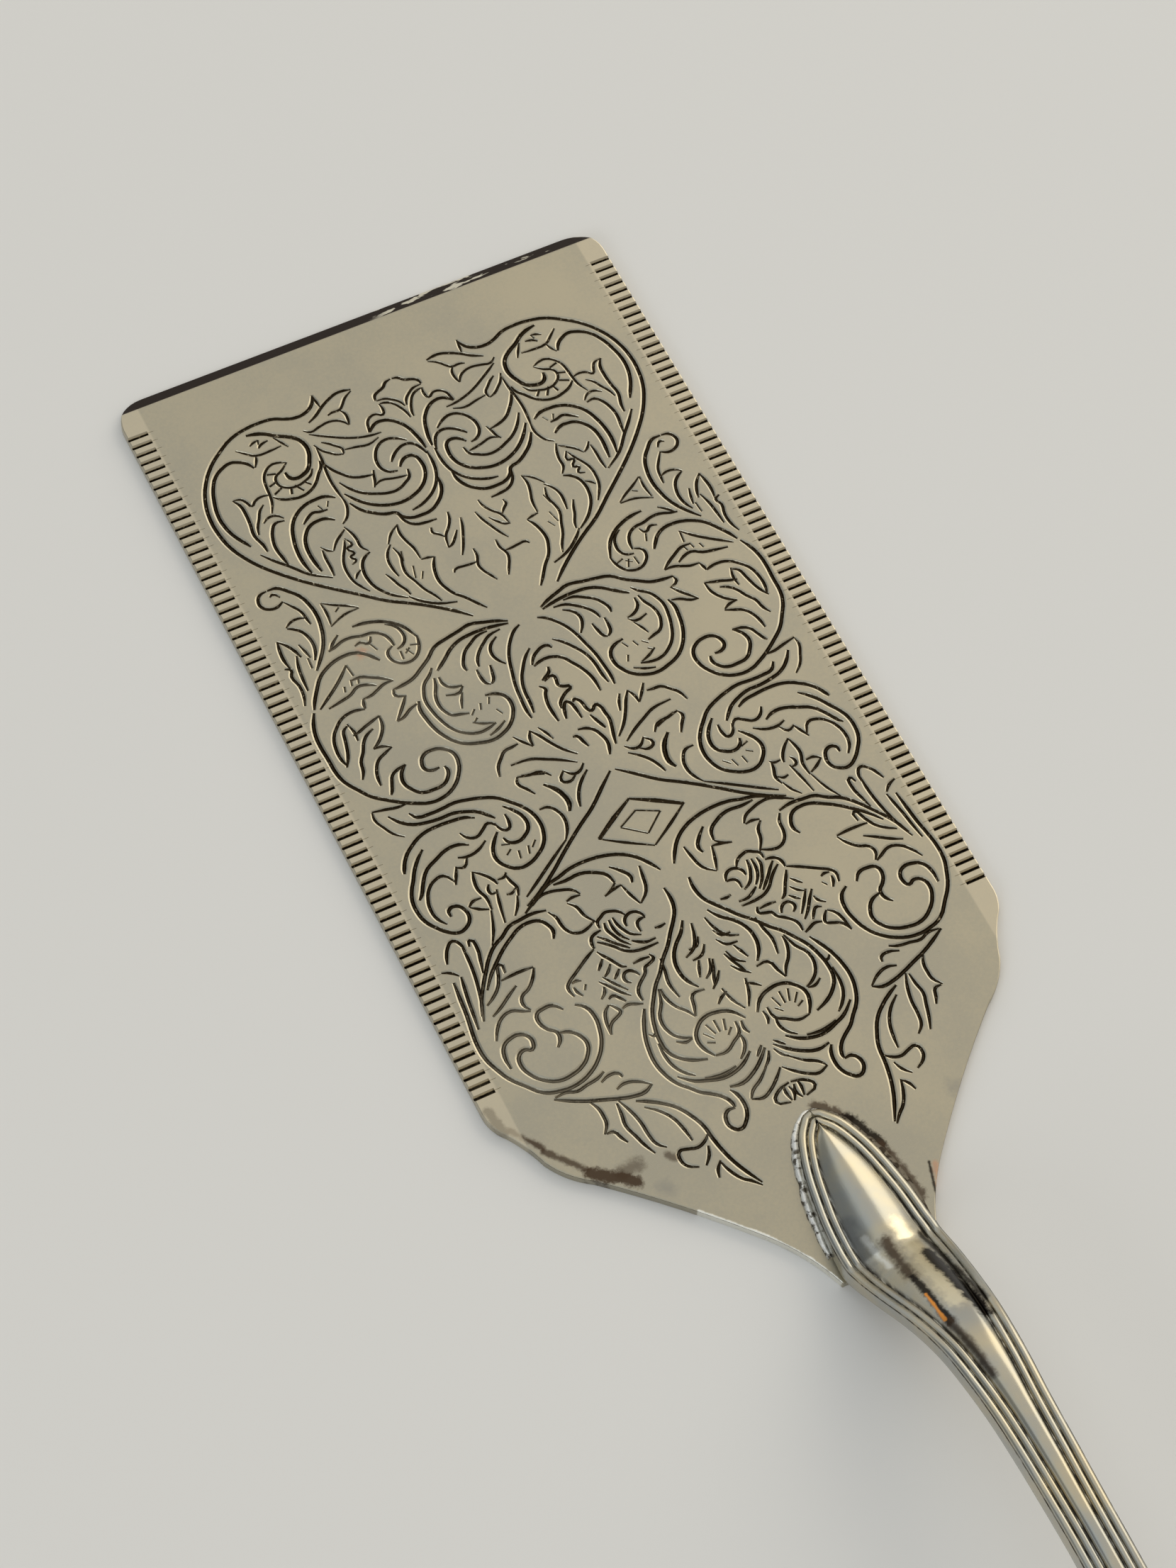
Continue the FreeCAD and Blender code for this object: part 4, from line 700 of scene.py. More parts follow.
    (0.40, [(13.0, -41.4), (12.5, -42.0), (12.3, -42.6), (12.9, -43.0), (13.6, -43.3), (14.1, -43.8),
     (14.4, -44.6)]),
    (0.40, [(13.1, -41.4), (13.8, -42.0), (14.2, -43.1), (14.4, -44.5)]),
    (0.40, [(6.5, -37.9), (6.3, -38.5), (7.0, -38.9), (7.6, -39.1), (7.9, -39.7), (8.5, -40.2), (9.2, -40.8),
     (9.6, -41.5), (9.6, -42.5)]),
    (0.40, [(6.6, -38.2), (7.6, -38.1), (8.6, -38.2)]),
    (0.40, [(8.5, -39.7), (8.9, -39.0), (9.6, -38.7), (10.1, -39.0), (10.2, -39.6), (9.7, -40.1)]),
    (0.40, [(9.7, -42.8), (10.4, -42.5), (11.2, -42.2), (12.0, -42.4)]),
    (0.40, [(2.9, -48.0), (3.3, -49.3)]),
    (0.40, [(3.9, -47.7), (3.9, -49.2)]),
    (0.40, [(4.9, -47.8), (4.4, -49.2)]),
    (0.40, [(5.6, -48.6), (4.8, -49.6)]),
    (0.40, [(5.7, -49.7), (4.9, -50.1)]),
    (0.40, [(2.6, -49.2), (3.3, -49.9)]),
    (0.40, [(2.2, -50.0), (2.1, -51.2), (2.6, -52.2), (3.4, -52.9)]),
    (0.40, [(1.3, -49.0), (1.4, -49.9), (1.1, -50.6)]),
    (0.40, [(0.7, -52.4), (1.2, -52.9), (1.7, -53.4)]),
    (0.40, [(0.3, -53.3), (0.8, -54.2), (1.6, -54.9)]),
    (0.40, [(4.2, -53.4), (5.5, -53.6), (6.8, -53.5), (7.8, -53.2)]),
    (0.40, [(0.3, -57.8), (0.1, -58.6), (0.5, -59.5)]),
    (0.40, [(0.8, -57.4), (0.9, -58.3), (0.7, -59.4)]),
    (0.40, [(10.4, -47.6), (10.4, -49.2), (10.1, -50.6), (9.3, -51.8), (8.5, -52.5)]),
    (0.40, [(9.7, -45.4), (10.3, -46.6), (10.8, -46.2)]),
    (0.40, [(6.9, -48.6), (7.7, -48.7), (8.6, -48.2)]),
    (0.40, [(2.1, -40.8), (2.5, -41.7), (2.9, -42.7)]),
    (0.40, [(0.7, -41.3), (1.1, -42.3), (1.6, -43.4), (1.9, -44.2)]),
    (0.40, [(0.9, -38.3), (1.5, -39.2), (2.5, -39.3)]),
    (0.40, [(0.7, -42.8), (1.4, -43.7), (2.3, -44.5)]),
    (0.40, [(1.1, -45.3), (1.9, -45.7), (2.6, -46.3)]),
]
# The figure in the middle, which is not mirrored
CENTRE_LINES = [
    (0.42, [(0.9, 0.2), (0.6, 0.7), (0.0, 0.8), (-0.8, 0.5), (-1.5, 0.0), (-2.1, -0.9)]),
    (0.42, [(-2.0, -1.1), (-1.2, -0.8), (-0.3, -0.7), (0.6, -0.9), (1.4, -1.4), (2.0, -2.3), (2.6, -3.3),
     (3.1, -4.5), (3.3, -5.5), (3.3, -7.0)]),
    (0.42, [(-0.6, -1.8), (-0.8, -2.4), (-1.4, -2.8), (-2.0, -3.1)]),
    (0.42, [(-1.8, -3.3), (-0.6, -3.0), (-0.5, -3.6), (-0.6, -4.3), (-0.2, -4.7), (0.5, -5.1), (-0.2, -5.5),
     (-0.8, -5.9), (-1.4, -6.5), (-1.6, -7.2)]),
    (0.42, [(-2.6, -3.6), (-2.1, -4.2), (-2.4, -4.8), (-2.7, -6.0), (-2.7, -7.2), (-2.6, -8.5)]),
    (0.42, [(-1.7, -8.6), (-1.5, -7.8), (-1.2, -7.0), (-0.8, -6.6), (-0.4, -6.9), (-0.2, -7.8),
     (-0.1, -9.2)]),
    (0.42, [(-0.1, -7.0), (0.2, -6.7), (0.6, -7.0), (0.8, -7.6), (0.9, -8.3), (1.3, -8.8), (2.0, -8.3),
     (2.4, -8.7), (2.5, -9.6), (2.6, -10.5), (2.4, -11.5), (2.1, -12.5), (1.8, -13.7)]),
    (0.42, [(0.9, -9.2), (1.2, -10.0), (1.5, -10.8), (1.7, -11.4)]),
    (0.42, [(-1.2, -10.3), (-0.3, -10.5), (0.4, -11.0), (0.9, -12.0), (1.1, -13.0), (0.9, -13.9),
     (0.6, -14.6)]),
    (0.42, [(-2.1, -10.9), (-1.6, -11.0), (-1.3, -11.8), (-1.0, -12.7)]),
]


# Helpers for working on pieces
def select_only(piece):
    """Leaves just this piece selected and active."""
    bpy.ops.object.select_all(action="DESELECT")
    piece.select_set(True)
    bpy.context.view_layer.objects.active = piece


def name_piece(name):
    """Names the piece that was just added."""
    piece = bpy.context.object
    piece.name = name
    piece.data.name = name
    return piece


def apply_place(piece):
    """Puts the piece's place into its mesh."""
    select_only(piece)
    bpy.ops.object.transform_apply(location=True, rotation=True, scale=True)


def apply_modifier(piece, kind, **settings):
    """Adds a modifier with its settings and applies it."""
    select_only(piece)
    modifier = piece.modifiers.new(kind.lower(), kind)
    for name, value in settings.items():
        setattr(modifier, name, value)
    bpy.ops.object.modifier_apply(modifier=modifier.name)


def cut_away(piece, cutter):
    """Cuts a shape, whose parts may cross one another, out of a piece, and removes the cutter."""
    apply_modifier(piece, "BOOLEAN", operation="DIFFERENCE", solver="EXACT", use_self=True, object=cutter)
    bpy.data.objects.remove(cutter)


def smooth_by_angle(piece, degrees):
    """Smooth shading, with creases where faces meet at more than the angle."""
    select_only(piece)
    bpy.ops.object.shade_smooth_by_angle(angle=math.radians(degrees))


# Blade
def arc_through(start, middle, finish, steps):
    """Points along the arc through three points, without the first."""
    ax, ay = start
    bx, by = middle
    cx, cy = finish
    turn = 2.0 * (ax * (by - cy) + bx * (cy - ay) + cx * (ay - by))
    a2, b2, c2 = ax * ax + ay * ay, bx * bx + by * by, cx * cx + cy * cy
    centre_x = (a2 * (by - cy) + b2 * (cy - ay) + c2 * (ay - by)) / turn
    centre_y = (a2 * (cx - bx) + b2 * (ax - cx) + c2 * (bx - ax)) / turn
    radius = math.hypot(ax - centre_x, ay - centre_y)
    first = math.atan2(ay - centre_y, ax - centre_x)
    half = math.remainder(math.atan2(by - centre_y, bx - centre_x) - first, math.tau)
    rest = math.remainder(math.atan2(cy - centre_y, cx - centre_x) - first - half, math.tau)
    angles = [first + (half + rest) * step / steps for step in range(1, steps + 1)]
    return [(centre_x + radius * math.cos(angle), centre_y + radius * math.sin(angle)) for angle in angles]


def blade_outline():
    """Outline of the blade in millimetres, from the front edge down the right side and back."""
    half = 0.5 * BLADE_WIDTH
    inwards = half - 0.5 * TAIL_WIDTH
    trim = CORNER_RADIUS * (1.0 - math.sqrt(0.5))

    def shoulder(share_in, share_back):
        return (half - share_in * inwards, -SIDE_BACK - share_back * SHOULDER_LENGTH)

    corner_middle = (half - trim, BLADE_FRONT - trim)
    corner_end = (half, BLADE_FRONT - CORNER_RADIUS)
    right = [(half - CORNER_RADIUS, BLADE_FRONT)]
    right += arc_through(right[0], corner_middle, corner_end, ARC_STEPS)
    right.append((half, -SIDE_BACK))
    for middle, finish in SHOULDER_ARCS:
        right += arc_through(right[-1], shoulder(*middle), shoulder(*finish), ARC_STEPS)
    return right + [(-x, y) for x, y in reversed(right)]


def flat_blade():
    """The stamped sheet with its bevelled front and softened edges."""
    outline = blade_outline()
    bpy.ops.object.select_all(action="DESELECT")
    bpy.ops.mesh.primitive_circle_add(vertices=len(outline), fill_type="NGON")
    blade = name_piece("engraved_blade")
    for vertex, (x, y) in zip(blade.data.vertices, outline):
        vertex.co = (x * MM, y * MM, 0.0)
    bpy.ops.object.mode_set(mode="EDIT")
    bpy.ops.mesh.select_all(action="SELECT")
    bpy.ops.mesh.extrude_region_move(TRANSFORM_OT_translate={"value": (0.0, 0.0, SHEET * MM)})
    bpy.ops.mesh.select_all(action="SELECT")
    bpy.ops.mesh.normals_make_consistent(inside=False)
    bpy.ops.mesh.select_all(action="SELECT")
    bpy.ops.mesh.bisect(
        plane_co=(0.0, (BLADE_FRONT - BEVEL_RUN) * MM, SHEET * MM),
        plane_no=(0.0, BEVEL_DEPTH / BEVEL_RUN, 1.0),
        use_fill=True,
        clear_outer=True,
    )
    bpy.ops.object.mode_set(mode="OBJECT")
    apply_modifier(blade, "BEVEL", width=EDGE_SOFTNESS * MM, segments=EDGE_STEPS, limit_method="ANGLE",
                   angle_limit=math.radians(EDGE_ANGLE))
    return blade


def divide_sheet(blade):
    """Divides the sheet into squares, so that the pattern is cut from small faces."""
    select_only(blade)
    bpy.ops.object.mode_set(mode="EDIT")
    for number in range(CELLS_ACROSS + 1):
        bpy.ops.mesh.select_all(action="SELECT")
        place = (number - 0.5 * CELLS_ACROSS) * CELL * MM
        bpy.ops.mesh.bisect(plane_co=(place, 0.0, 0.0), plane_no=(1.0, 0.0, 0.0))
    for number in range(CELLS_ALONG + 1):
        bpy.ops.mesh.select_all(action="SELECT")
        place = (CELLS_FRONT - number * CELL) * MM
        bpy.ops.mesh.bisect(plane_co=(0.0, place, 0.0), plane_no=(0.0, 1.0, 0.0))
    bpy.ops.object.mode_set(mode="OBJECT")


def flute_cutters():
    """A row of four-sided bars along each side, on edge, each pointed at its inner end."""
    bpy.ops.object.select_all(action="DESELECT")
    bpy.ops.mesh.primitive_cube_add(size=math.sqrt(0.5), rotation=(math.radians(45.0), 0.0, 0.0))
    cutter = name_piece("flute_cutter")
    apply_place(cutter)
    cutter.scale = (1.0, FLUTE_WIDTH, 2.0 * FLUTE_DEPTH)
    apply_place(cutter)
    inner_face = min(cutter.data.polygons, key=lambda face: face.center.x)
    for polygon in cutter.data.polygons:
        polygon.select = polygon is inner_face
    inner, outer = -FLUTE_LENGTH + FLUTE_POINT, FLUTE_OVERRUN
    for vertex in cutter.data.vertices:
        vertex.co.x = inner if vertex.co.x < 0.0 else outer
    bpy.ops.object.mode_set(mode="EDIT")
    bpy.ops.mesh.extrude_region_move(TRANSFORM_OT_translate={"value": (-FLUTE_POINT, 0.0, 0.0)})
    bpy.ops.transform.resize(
        value=(1.0, FLUTE_POINT_SHARE, FLUTE_POINT_SHARE),
        center_override=(-FLUTE_LENGTH, 0.0, 0.0),
    )
    bpy.ops.mesh.select_all(action="SELECT")
    bpy.ops.mesh.normals_make_consistent(inside=False)
    bpy.ops.object.mode_set(mode="OBJECT")
    first = -0.5 * (FLUTE_COUNT - 1) * FLUTE_PITCH
    cutter.location = (0.5 * BLADE_WIDTH * MM, first * MM, (SHEET + FLUTE_LIFT) * MM)
    cutter.scale = (MM, MM, MM)
    apply_place(cutter)
    apply_modifier(cutter, "ARRAY", count=FLUTE_COUNT, use_relative_offset=False, use_constant_offset=True,
                   constant_offset_displace=(0.0, FLUTE_PITCH * MM, 0.0))
    apply_modifier(cutter, "MIRROR")
    return cutter


# Engraved lines
def groove_profile():
    """Cross-section of the graver's cut for a groove of half width 1: soft shoulders and a narrow floor."""
    curve = bpy.data.curves.new("groove_profile", "CURVE")
    line = curve.splines.new("POLY")
    line.points.add(len(GROOVE_PROFILE) - 1)
    for point, (across, height) in zip(line.points, GROOVE_PROFILE):
        point.co = (across, height, 0.0, 1.0)
    line.use_cyclic_u = True
    profile = bpy.data.objects.new("groove_profile", curve)
    bpy.context.scene.collection.objects.link(profile)
    return profile


def line_cutter(name, lines, profile, mirrored):
    """Solid cutters that follow drawn lines and thin out towards their ends."""
    curve = bpy.data.curves.new(name, "CURVE")
    curve.dimensions = "3D"
    curve.twist_mode = "Z_UP"
    curve.bevel_mode = "OBJECT"
    curve.bevel_object = profile
    curve.use_fill_caps = True
    curve.resolution_u = LINE_STEPS
    for width, points in lines:
        for side in (1.0, -1.0) if mirrored else (1.0,):
            spline = curve.splines.new("BEZIER")
            spline.bezier_points.add(len(points) - 1)
            for number, (x, y) in enumerate(points):
                knot = spline.bezier_points[number]
                knot.co = (side * x * MM, y * MM, SHEET * MM)
                knot.handle_left_type = "AUTO"
                knot.handle_right_type = "AUTO"
                at_end = number in (0, len(points) - 1)
                knot.radius = 0.5 * LINE_BREADTH * width * MM * (END_SHARE if at_end else 1.0)
    cutter = bpy.data.objects.new(name, curve)
    bpy.context.scene.collection.objects.link(cutter)
    select_only(cutter)
    bpy.ops.object.convert(target="MESH")
    bpy.ops.object.mode_set(mode="EDIT")
    bpy.ops.mesh.select_all(action="SELECT")
    bpy.ops.mesh.remove_doubles(threshold=SAME_PLACE)
    bpy.ops.mesh.normals_make_consistent(inside=False)
    bpy.ops.object.mode_set(mode="OBJECT")
    return cutter


# Handle
def along(stations, place):
    """The sizes at a place, on a smooth line through the stations."""
    last = len(stations) - 1
    number = min(max(sum(1 for row in stations if row[0] <= place) - 1, 0), last - 1)
    start, finish = stations[number], stations[number + 1]
    before, after = stations[max(number - 1, 0)], stations[min(number + 2, last)]
    step = finish[0] - start[0]
    share = (place - start[0]) / step
    sizes = []
    for column in range(1, len(start)):
        slope_in = (finish[column] - before[column]) / (finish[0] - before[0]) * step
        slope_out = (after[column] - start[column]) / (after[0] - start[0]) * step
        rise = finish[column] - start[column]
        if number == 0:
            slope_in = rise
        if number == last - 1:
            slope_out = rise
        if rise * slope_in <= 0.0:
            slope_in = 0.0
        if rise * slope_out <= 0.0:
            slope_out = 0.0
        square = share * share
        cube = square * share
        sizes.append(
            (2.0 * cube - 3.0 * square + 1.0) * start[column]
            + (cube - 2.0 * square + share) * slope_in
            + (3.0 * square - 2.0 * cube) * finish[column]
            + (cube - square) * slope_out
        )
    return sizes


def handle_outline():
    """Plan of the handle: right side from the tip to the end, then the left side back to the tip."""
    places = [row[0] for row in HANDLE_STATIONS]
    right = []
    for start, finish in zip(places, places[1:]):
        steps = max(OUTLINE_LEAST, round((finish - start) / OUTLINE_STEP))
        for step in range(steps):
            place = start + (finish - start) * step / steps
            right.append((along(HANDLE_STATIONS, place)[0], place))
    end = (0.0, places[-1])
    return right + [end] + [(-x, place) for x, place in reversed(right[1:])]


def inward_lines(outline):
    """From each point of the outline: the direction inwards and the way to the middle line."""
    lines = []
    count = len(outline)
    for number, (x, place) in enumerate(outline):
        before, after = outline[number - 1], outline[(number + 1) % count]
        run = (after[0] - before[0], after[1] - before[1])
        length = math.hypot(*run)
        inwards = (-run[1] / length, run[0] / length)
        reach = abs(x / inwards[0]) if abs(inwards[0]) > 1e-6 and abs(x) > 1e-6 else 0.0
        lines.append((x, place, inwards, reach))
    return lines


def thread_height(inset):
    """Height of the two round threads over the surface at an inset from the edge."""
    height = 0.0
    for middle, half_width, rise in THREADS:
        share = (inset - middle) / half_width
        if abs(share) < 1.0:
            height += rise * math.sqrt(1.0 - share * share)
    return height


def handle_rings():
    """Closed rings of points from the middle of the top, over the edge, to the middle of the underside."""
    lines = inward_lines(handle_outline())
    top, sides, under = [], [], []
    for share in CROWN_SHARES:
        top.append([handle_point(line, None, share, True) for line in lines])
    for inset in reversed(THREAD_INSETS):
        top.append([handle_point(line, inset, 0.0, True) for line in lines])
    for drop, inset in SIDE_STEPS:
        sides.append([side_point(line, drop, inset) for line in lines])
    for share in UNDERSIDE_SHARES:
        under.append([handle_point(line, None, share, False) for line in lines])
    return top + sides + under


def handle_point(line, inset, share, upper):
    """A point of the top or underside: at an inset in the threads, or at a share of the way to the middle."""
    x, place, inwards, reach = line
    band = THREAD_BAND if upper else UNDERSIDE_BAND
    if inset is not None:
        way = min(inset, reach)
    else:
        way = min(band + share * max(reach - band, 0.0), reach)
    at_x, at_place = x + inwards[0] * way, place + inwards[1] * way
    _, rise, thickness, crown = along(HANDLE_STATIONS, min(max(at_place, 0.0), HANDLE_LENGTH))
    base = SHEET + max(rise, 0.0)
    if upper:
        power = 2.0 + 2.0 * smooth_step(*CROWN_FLATTER, at_place)
        dome = crown * (1.0 - (1.0 - share) ** power)
        slope = VALLEY * min(way, THREAD_BAND) / THREAD_BAND
        height = base + thickness + dome + thread_height(way) + slope
    else:
        round_share = smooth_step(HEEL_FLAT, HEEL_FLAT + BELLY_START, at_place)
        height = base - round_share * BELLY * (1.0 - (1.0 - share) ** 2)
    return (at_x, HEEL_TIP - at_place, height)


def smooth_step(low, high, value):
    """From 0 at low to 1 at high, eased at both ends."""
    share = min(max((value - low) / (high - low), 0.0), 1.0)
    return share * share * (3.0 - 2.0 * share)


def side_point(line, drop, inset):
    """A point of the upright edge, a share of the thickness below its top."""
    x, place, inwards, reach = line
    _, rise, thickness, _ = along(HANDLE_STATIONS, place)
    way = min(inset, reach)
    height = SHEET + max(rise, 0.0) + thickness * (1.0 - drop)
    return (x + inwards[0] * way, HEEL_TIP - (place + inwards[1] * way), height)


def cast_handle():
    """The handle as one closed skin through its rings."""
    rings = handle_rings()
    count = len(rings[0])
    points = [(x * MM, y * MM, z * MM) for ring in rings for x, y, z in ring]
    faces = []
    for ring in range(len(rings) - 1):
        for number in range(count):
            following = (number + 1) % count
            low, high = ring * count, (ring + 1) * count
            faces.append((low + number, low + following, high + following, high + number))
    mesh = bpy.data.meshes.new("cast_handle")
    mesh.from_pydata(points, [], faces)
    hollow = mesh.attributes.new("hollow", "FLOAT", "POINT")
    first_inset = len(CROWN_SHARES)
    for ring, inset in enumerate(reversed(THREAD_INSETS), start=first_inset):
        depth = 1.0 - min(1.0, HOLLOW_SHARE * thread_height(inset) / THREADS[0][2])
        for number in range(ring * count, (ring + 1) * count):
            hollow.data[number].value = depth
    handle = bpy.data.objects.new("cast_handle", mesh)
    bpy.context.scene.collection.objects.link(handle)
    select_only(handle)
    bpy.ops.object.mode_set(mode="EDIT")
    bpy.ops.mesh.select_all(action="SELECT")
    bpy.ops.mesh.remove_doubles(threshold=SKIN_SAME_PLACE)
    bpy.ops.mesh.normals_make_consistent(inside=False)
    bpy.ops.object.mode_set(mode="OBJECT")
    return handle


# Solder
def solder_bead():
    """The uneven bead round the heel, thicker in some places than in others."""
    curve = bpy.data.curves.new("solder_bead", "CURVE")
    curve.dimensions = "3D"
    curve.twist_mode = "Z_UP"
    curve.bevel_depth = 1.0
    curve.bevel_resolution = SOLDER_ROUND
    curve.use_fill_caps = True
    curve.resolution_u = SOLDER_STEPS
    spline = curve.splines.new("BEZIER")
    spline.bezier_points.add(len(SOLDER_ROUTE) - 1)
    for knot, (x, y, radius) in zip(spline.bezier_points, SOLDER_ROUTE):
        knot.co = (x * MM, y * MM, (SHEET + SOLDER_HEIGHT) * MM)
        knot.handle_left_type = "AUTO"
        knot.handle_right_type = "AUTO"
        knot.radius = radius * MM
    bead = bpy.data.objects.new("solder_bead", curve)
    bpy.context.scene.collection.objects.link(bead)
    select_only(bead)
    bpy.ops.object.convert(target="MESH")
    bpy.ops.object.mode_set(mode="EDIT")
    bpy.ops.mesh.select_all(action="SELECT")
    bpy.ops.mesh.remove_doubles(threshold=SAME_PLACE)
    bpy.ops.mesh.normals_make_consistent(inside=False)
    bpy.ops.object.mode_set(mode="OBJECT")
    for vertex in bead.data.vertices:
        lump = noise.noise(vertex.co / (SOLDER_LUMP * MM))
        vertex.co += vertex.normal * (lump * SOLDER_UNEVEN * MM)
    return bead


# Shader building
class Wire:
    """A socket that can be used in arithmetic: each sign adds a Math node."""

    def __init__(self, shader, socket):
        self.shader = shader
        self.socket = socket

    def _maths(self, operation, first, second):
        return self.shader.node("Math", {"operation": operation}, {0: first, 1: second})

    def __add__(self, other):
        return self._maths("ADD", self, other)

    def __sub__(self, other):
        return self._maths("SUBTRACT", self, other)

    def __mul__(self, other):
        return self._maths("MULTIPLY", self, other)

    def __radd__(self, other):
        return self._maths("ADD", other, self)

    def __rsub__(self, other):
        return self._maths("SUBTRACT", other, self)

    def __rmul__(self, other):
        return self._maths("MULTIPLY", other, self)


class Shader:
    """A node tree, with one method that adds any node."""

    def __init__(self, tree):
        self.tree = tree
        tree.nodes.clear()

    def node(self, kind, settings, inputs, output=0):
        """Adds a node: its type, its settings, and the values or links of its sockets."""
        node = self.tree.nodes.new("ShaderNode" + kind)
        for name, value in settings.items():
            setattr(node, name, value)
        for name, value in inputs.items():
            if isinstance(value, Wire):
                self.tree.links.new(value.socket, node.inputs[name])
            else:
                node.inputs[name].default_value = value
        return Wire(self, node.outputs[output]) if node.outputs else None

    def between(self, low, high, value):
        """0 below low, 1 above high, and smooth in between."""
        return self.node("MapRange", {"interpolation_type": "SMOOTHSTEP"},
                         {"Value": value, "From Min": low, "From Max": high})

    def parts(self, vector):
        """The three parts of a vector."""
        return [self.node("SeparateXYZ", {}, {0: vector}, output=axis) for axis in range(3)]

    def mix(self, share, first, second):
        """Blend of two colours."""
        return self.node("Mix", {"data_type": "RGBA"}, {0: share, 6: first, 7: second}, output=2)

    def noise(self, place, size, detail=2.0, roughness=0.5):
        """Noise with lumps of a size in millimetres."""
        return self.node("TexNoise", {}, {
            "Vector": place, "Scale": 1.0 / (size * MM), "Detail": detail, "Roughness": roughness})

    def stretched_noise(self, place, stretch, turn, size, detail=3.0, roughness=0.65):
        """Noise drawn out along one direction."""
        turned = self.node("Mapping", {}, {"Vector": place, "Rotation": (0.0, 0.0, turn), "Scale": stretch})
        return self.noise(turned, size, detail, roughness)

    def blot(self, place, ends, radius, soft):
        """1 inside a blot along a short line, seen from above, and 0 outside, with a ragged edge."""
        start, finish = [Vector((x, y, 0.0)) * MM for x, y in ends]
        run = finish - start
        length = max(run.length, 0.01 * MM)
        flat = self.node("VectorMath", {"operation": "MULTIPLY"}, {0: place, 1: (1.0, 1.0, 0.0)})
        from_start = self.node("VectorMath", {"operation": "SUBTRACT"}, {0: flat, 1: start})
        on_line = self.node("VectorMath", {"operation": "DOT_PRODUCT"}, {
            0: from_start, 1: run / length}, output=1)
        held = self.node("Clamp", {}, {"Value": on_line, "Min": 0.0, "Max": length})
        offset = self.node("VectorMath", {"operation": "SCALE"}, {0: run / length, 3: held})
        away = self.node("VectorMath", {"operation": "DISTANCE"}, {0: from_start, 1: offset}, output=1)
        ragged = away + (self.noise(place, *BLOT_RAGGED) - 0.5) * (BLOT_RAGGED_RADII * radius * MM)
        return 1.0 - self.between((radius - soft) * MM, (radius + soft) * MM, ragged)

    def blotted(self, place, colour, stains):
        """A colour with the listed blots over it."""
        for ends, radius, soft, strength, tint in stains:
            colour = self.mix(self.blot(place, ends, radius, soft) * strength, colour, tint)
        return colour

    def bump(self, relief, strength, height):
        """A normal bent by a relief of a height in millimetres."""
        return self.node("Bump", {}, {"Strength": strength, "Distance": height * MM, "Height": relief})

    def metal(self, colour, metallic, roughness, normal):
        """Ends the tree in a metal with these values."""
        surface = self.node("BsdfPrincipled", {}, {
            "Base Color": colour, "Metallic": metallic, "Roughness": roughness, "Normal": normal})
        self.node("OutputMaterial", {}, {"Surface": surface})


def new_material(name):
    """A material and its shader."""
    material = bpy.data.materials.new(name)
    material.use_nodes = True
    return material, Shader(material.node_tree)


def blade_plate():
    """Worn silver plate: faint clouds, fine scratches, dark grooves, a blackened bevel and stains, with
    painted highlights along the tail's left edge and on the flutes.
    """
    material, shader = new_material("blade_plate")
    place = shader.node("TexCoord", {}, {}, output=3)
    across, along_blade, height = shader.parts(place)
    clouds = shader.noise(place, *BLADE_CLOUDS)
    grain = shader.noise(place, *BLADE_GRAIN)
    scratches = shader.stretched_noise(place, *BLADE_SCRATCHES)
    worn = shader.between(*WEAR, clouds + (grain - 0.5) * GRAIN_IN_WEAR)
    colour = shader.mix(worn, PLATE_COOL, PLATE_WARM)
    # Stains on the plate, and a painted highlight along the tail's left edge
    colour = shader.blotted(place, colour, BLADE_STAINS_AND_HIGHLIGHT)

    facing = shader.node("TexCoord", {}, {}, output=1)
    upwards = shader.between(*FACING_UP, shader.node("SeparateXYZ", {}, {0: facing}, output=2))
    aside = shader.node("Math", {"operation": "ABSOLUTE"}, {0: across})
    flutes = shader.between(FLUTE_SIDES[0] * MM, FLUTE_SIDES[1] * MM, aside)
    ragged = (shader.noise(place, *GROOVE_RAGGED) - 0.5) * (GROOVE_RAGGED_DEPTH * MM)
    level = height + ragged + flutes * (FLUTE_CLEAN * MM)
    sunk = 1.0 - shader.between((SHEET - GROOVE_DARK[1]) * MM, (SHEET - GROOVE_DARK[0]) * MM, level)
    cut = sunk * upwards * shader.between(TARNISH_FLOOR[0] * MM, TARNISH_FLOOR[1] * MM, height)
    # Paler flecks in the groove tarnish, partly painted glints
    flecks = shader.between(*FLECK_SHARE, shader.noise(place, *GROOVE_FLECKS))
    tarnish = shader.blotted(place, shader.mix(flecks, GROOVE_TARNISH, GROOVE_FLECK), GROOVE_WORN)

    on_bevel = along_blade - (BLADE_FRONT - BEVEL_RUN) * MM
    bevel = shader.between(BEVEL_BLACK[0] * MM, BEVEL_BLACK[1] * MM, on_bevel)
    chips = shader.between(*CHIP_SHARE, shader.stretched_noise(place, *BEVEL_CHIPS))
    chips = chips * shader.between(CHIP_START[0] * MM, CHIP_START[1] * MM, across)
    # Painted highlight: the flute tops are made paler
    colour = shader.mix(flutes * PAINTED_FLUTE_HIGHLIGHT_SHARE, colour, PAINTED_FLUTE_HIGHLIGHT)
    colour = shader.mix(cut, colour, tarnish)
    colour = shader.mix(bevel, colour, shader.mix(chips, BEVEL_TARNISH, BEVEL_CHIP))

    dents = shader.noise(place, *BLADE_DENTS)
    relief = scratches * SCRATCH_BUMP + dents * DENT_BUMP + grain * GRAIN_BUMP
    bump = shader.bump(relief, BLADE_BUMP_STRENGTH, BLADE_BUMP_HEIGHT)
    gloss = (clouds - 0.5) * CLOUD_GLOSS + (scratches - 0.5) * SCRATCH_GLOSS
    shader.metal(colour, 1.0, BLADE_ROUGHNESS + gloss + cut * TARNISH_GLOSS, bump)
    return material


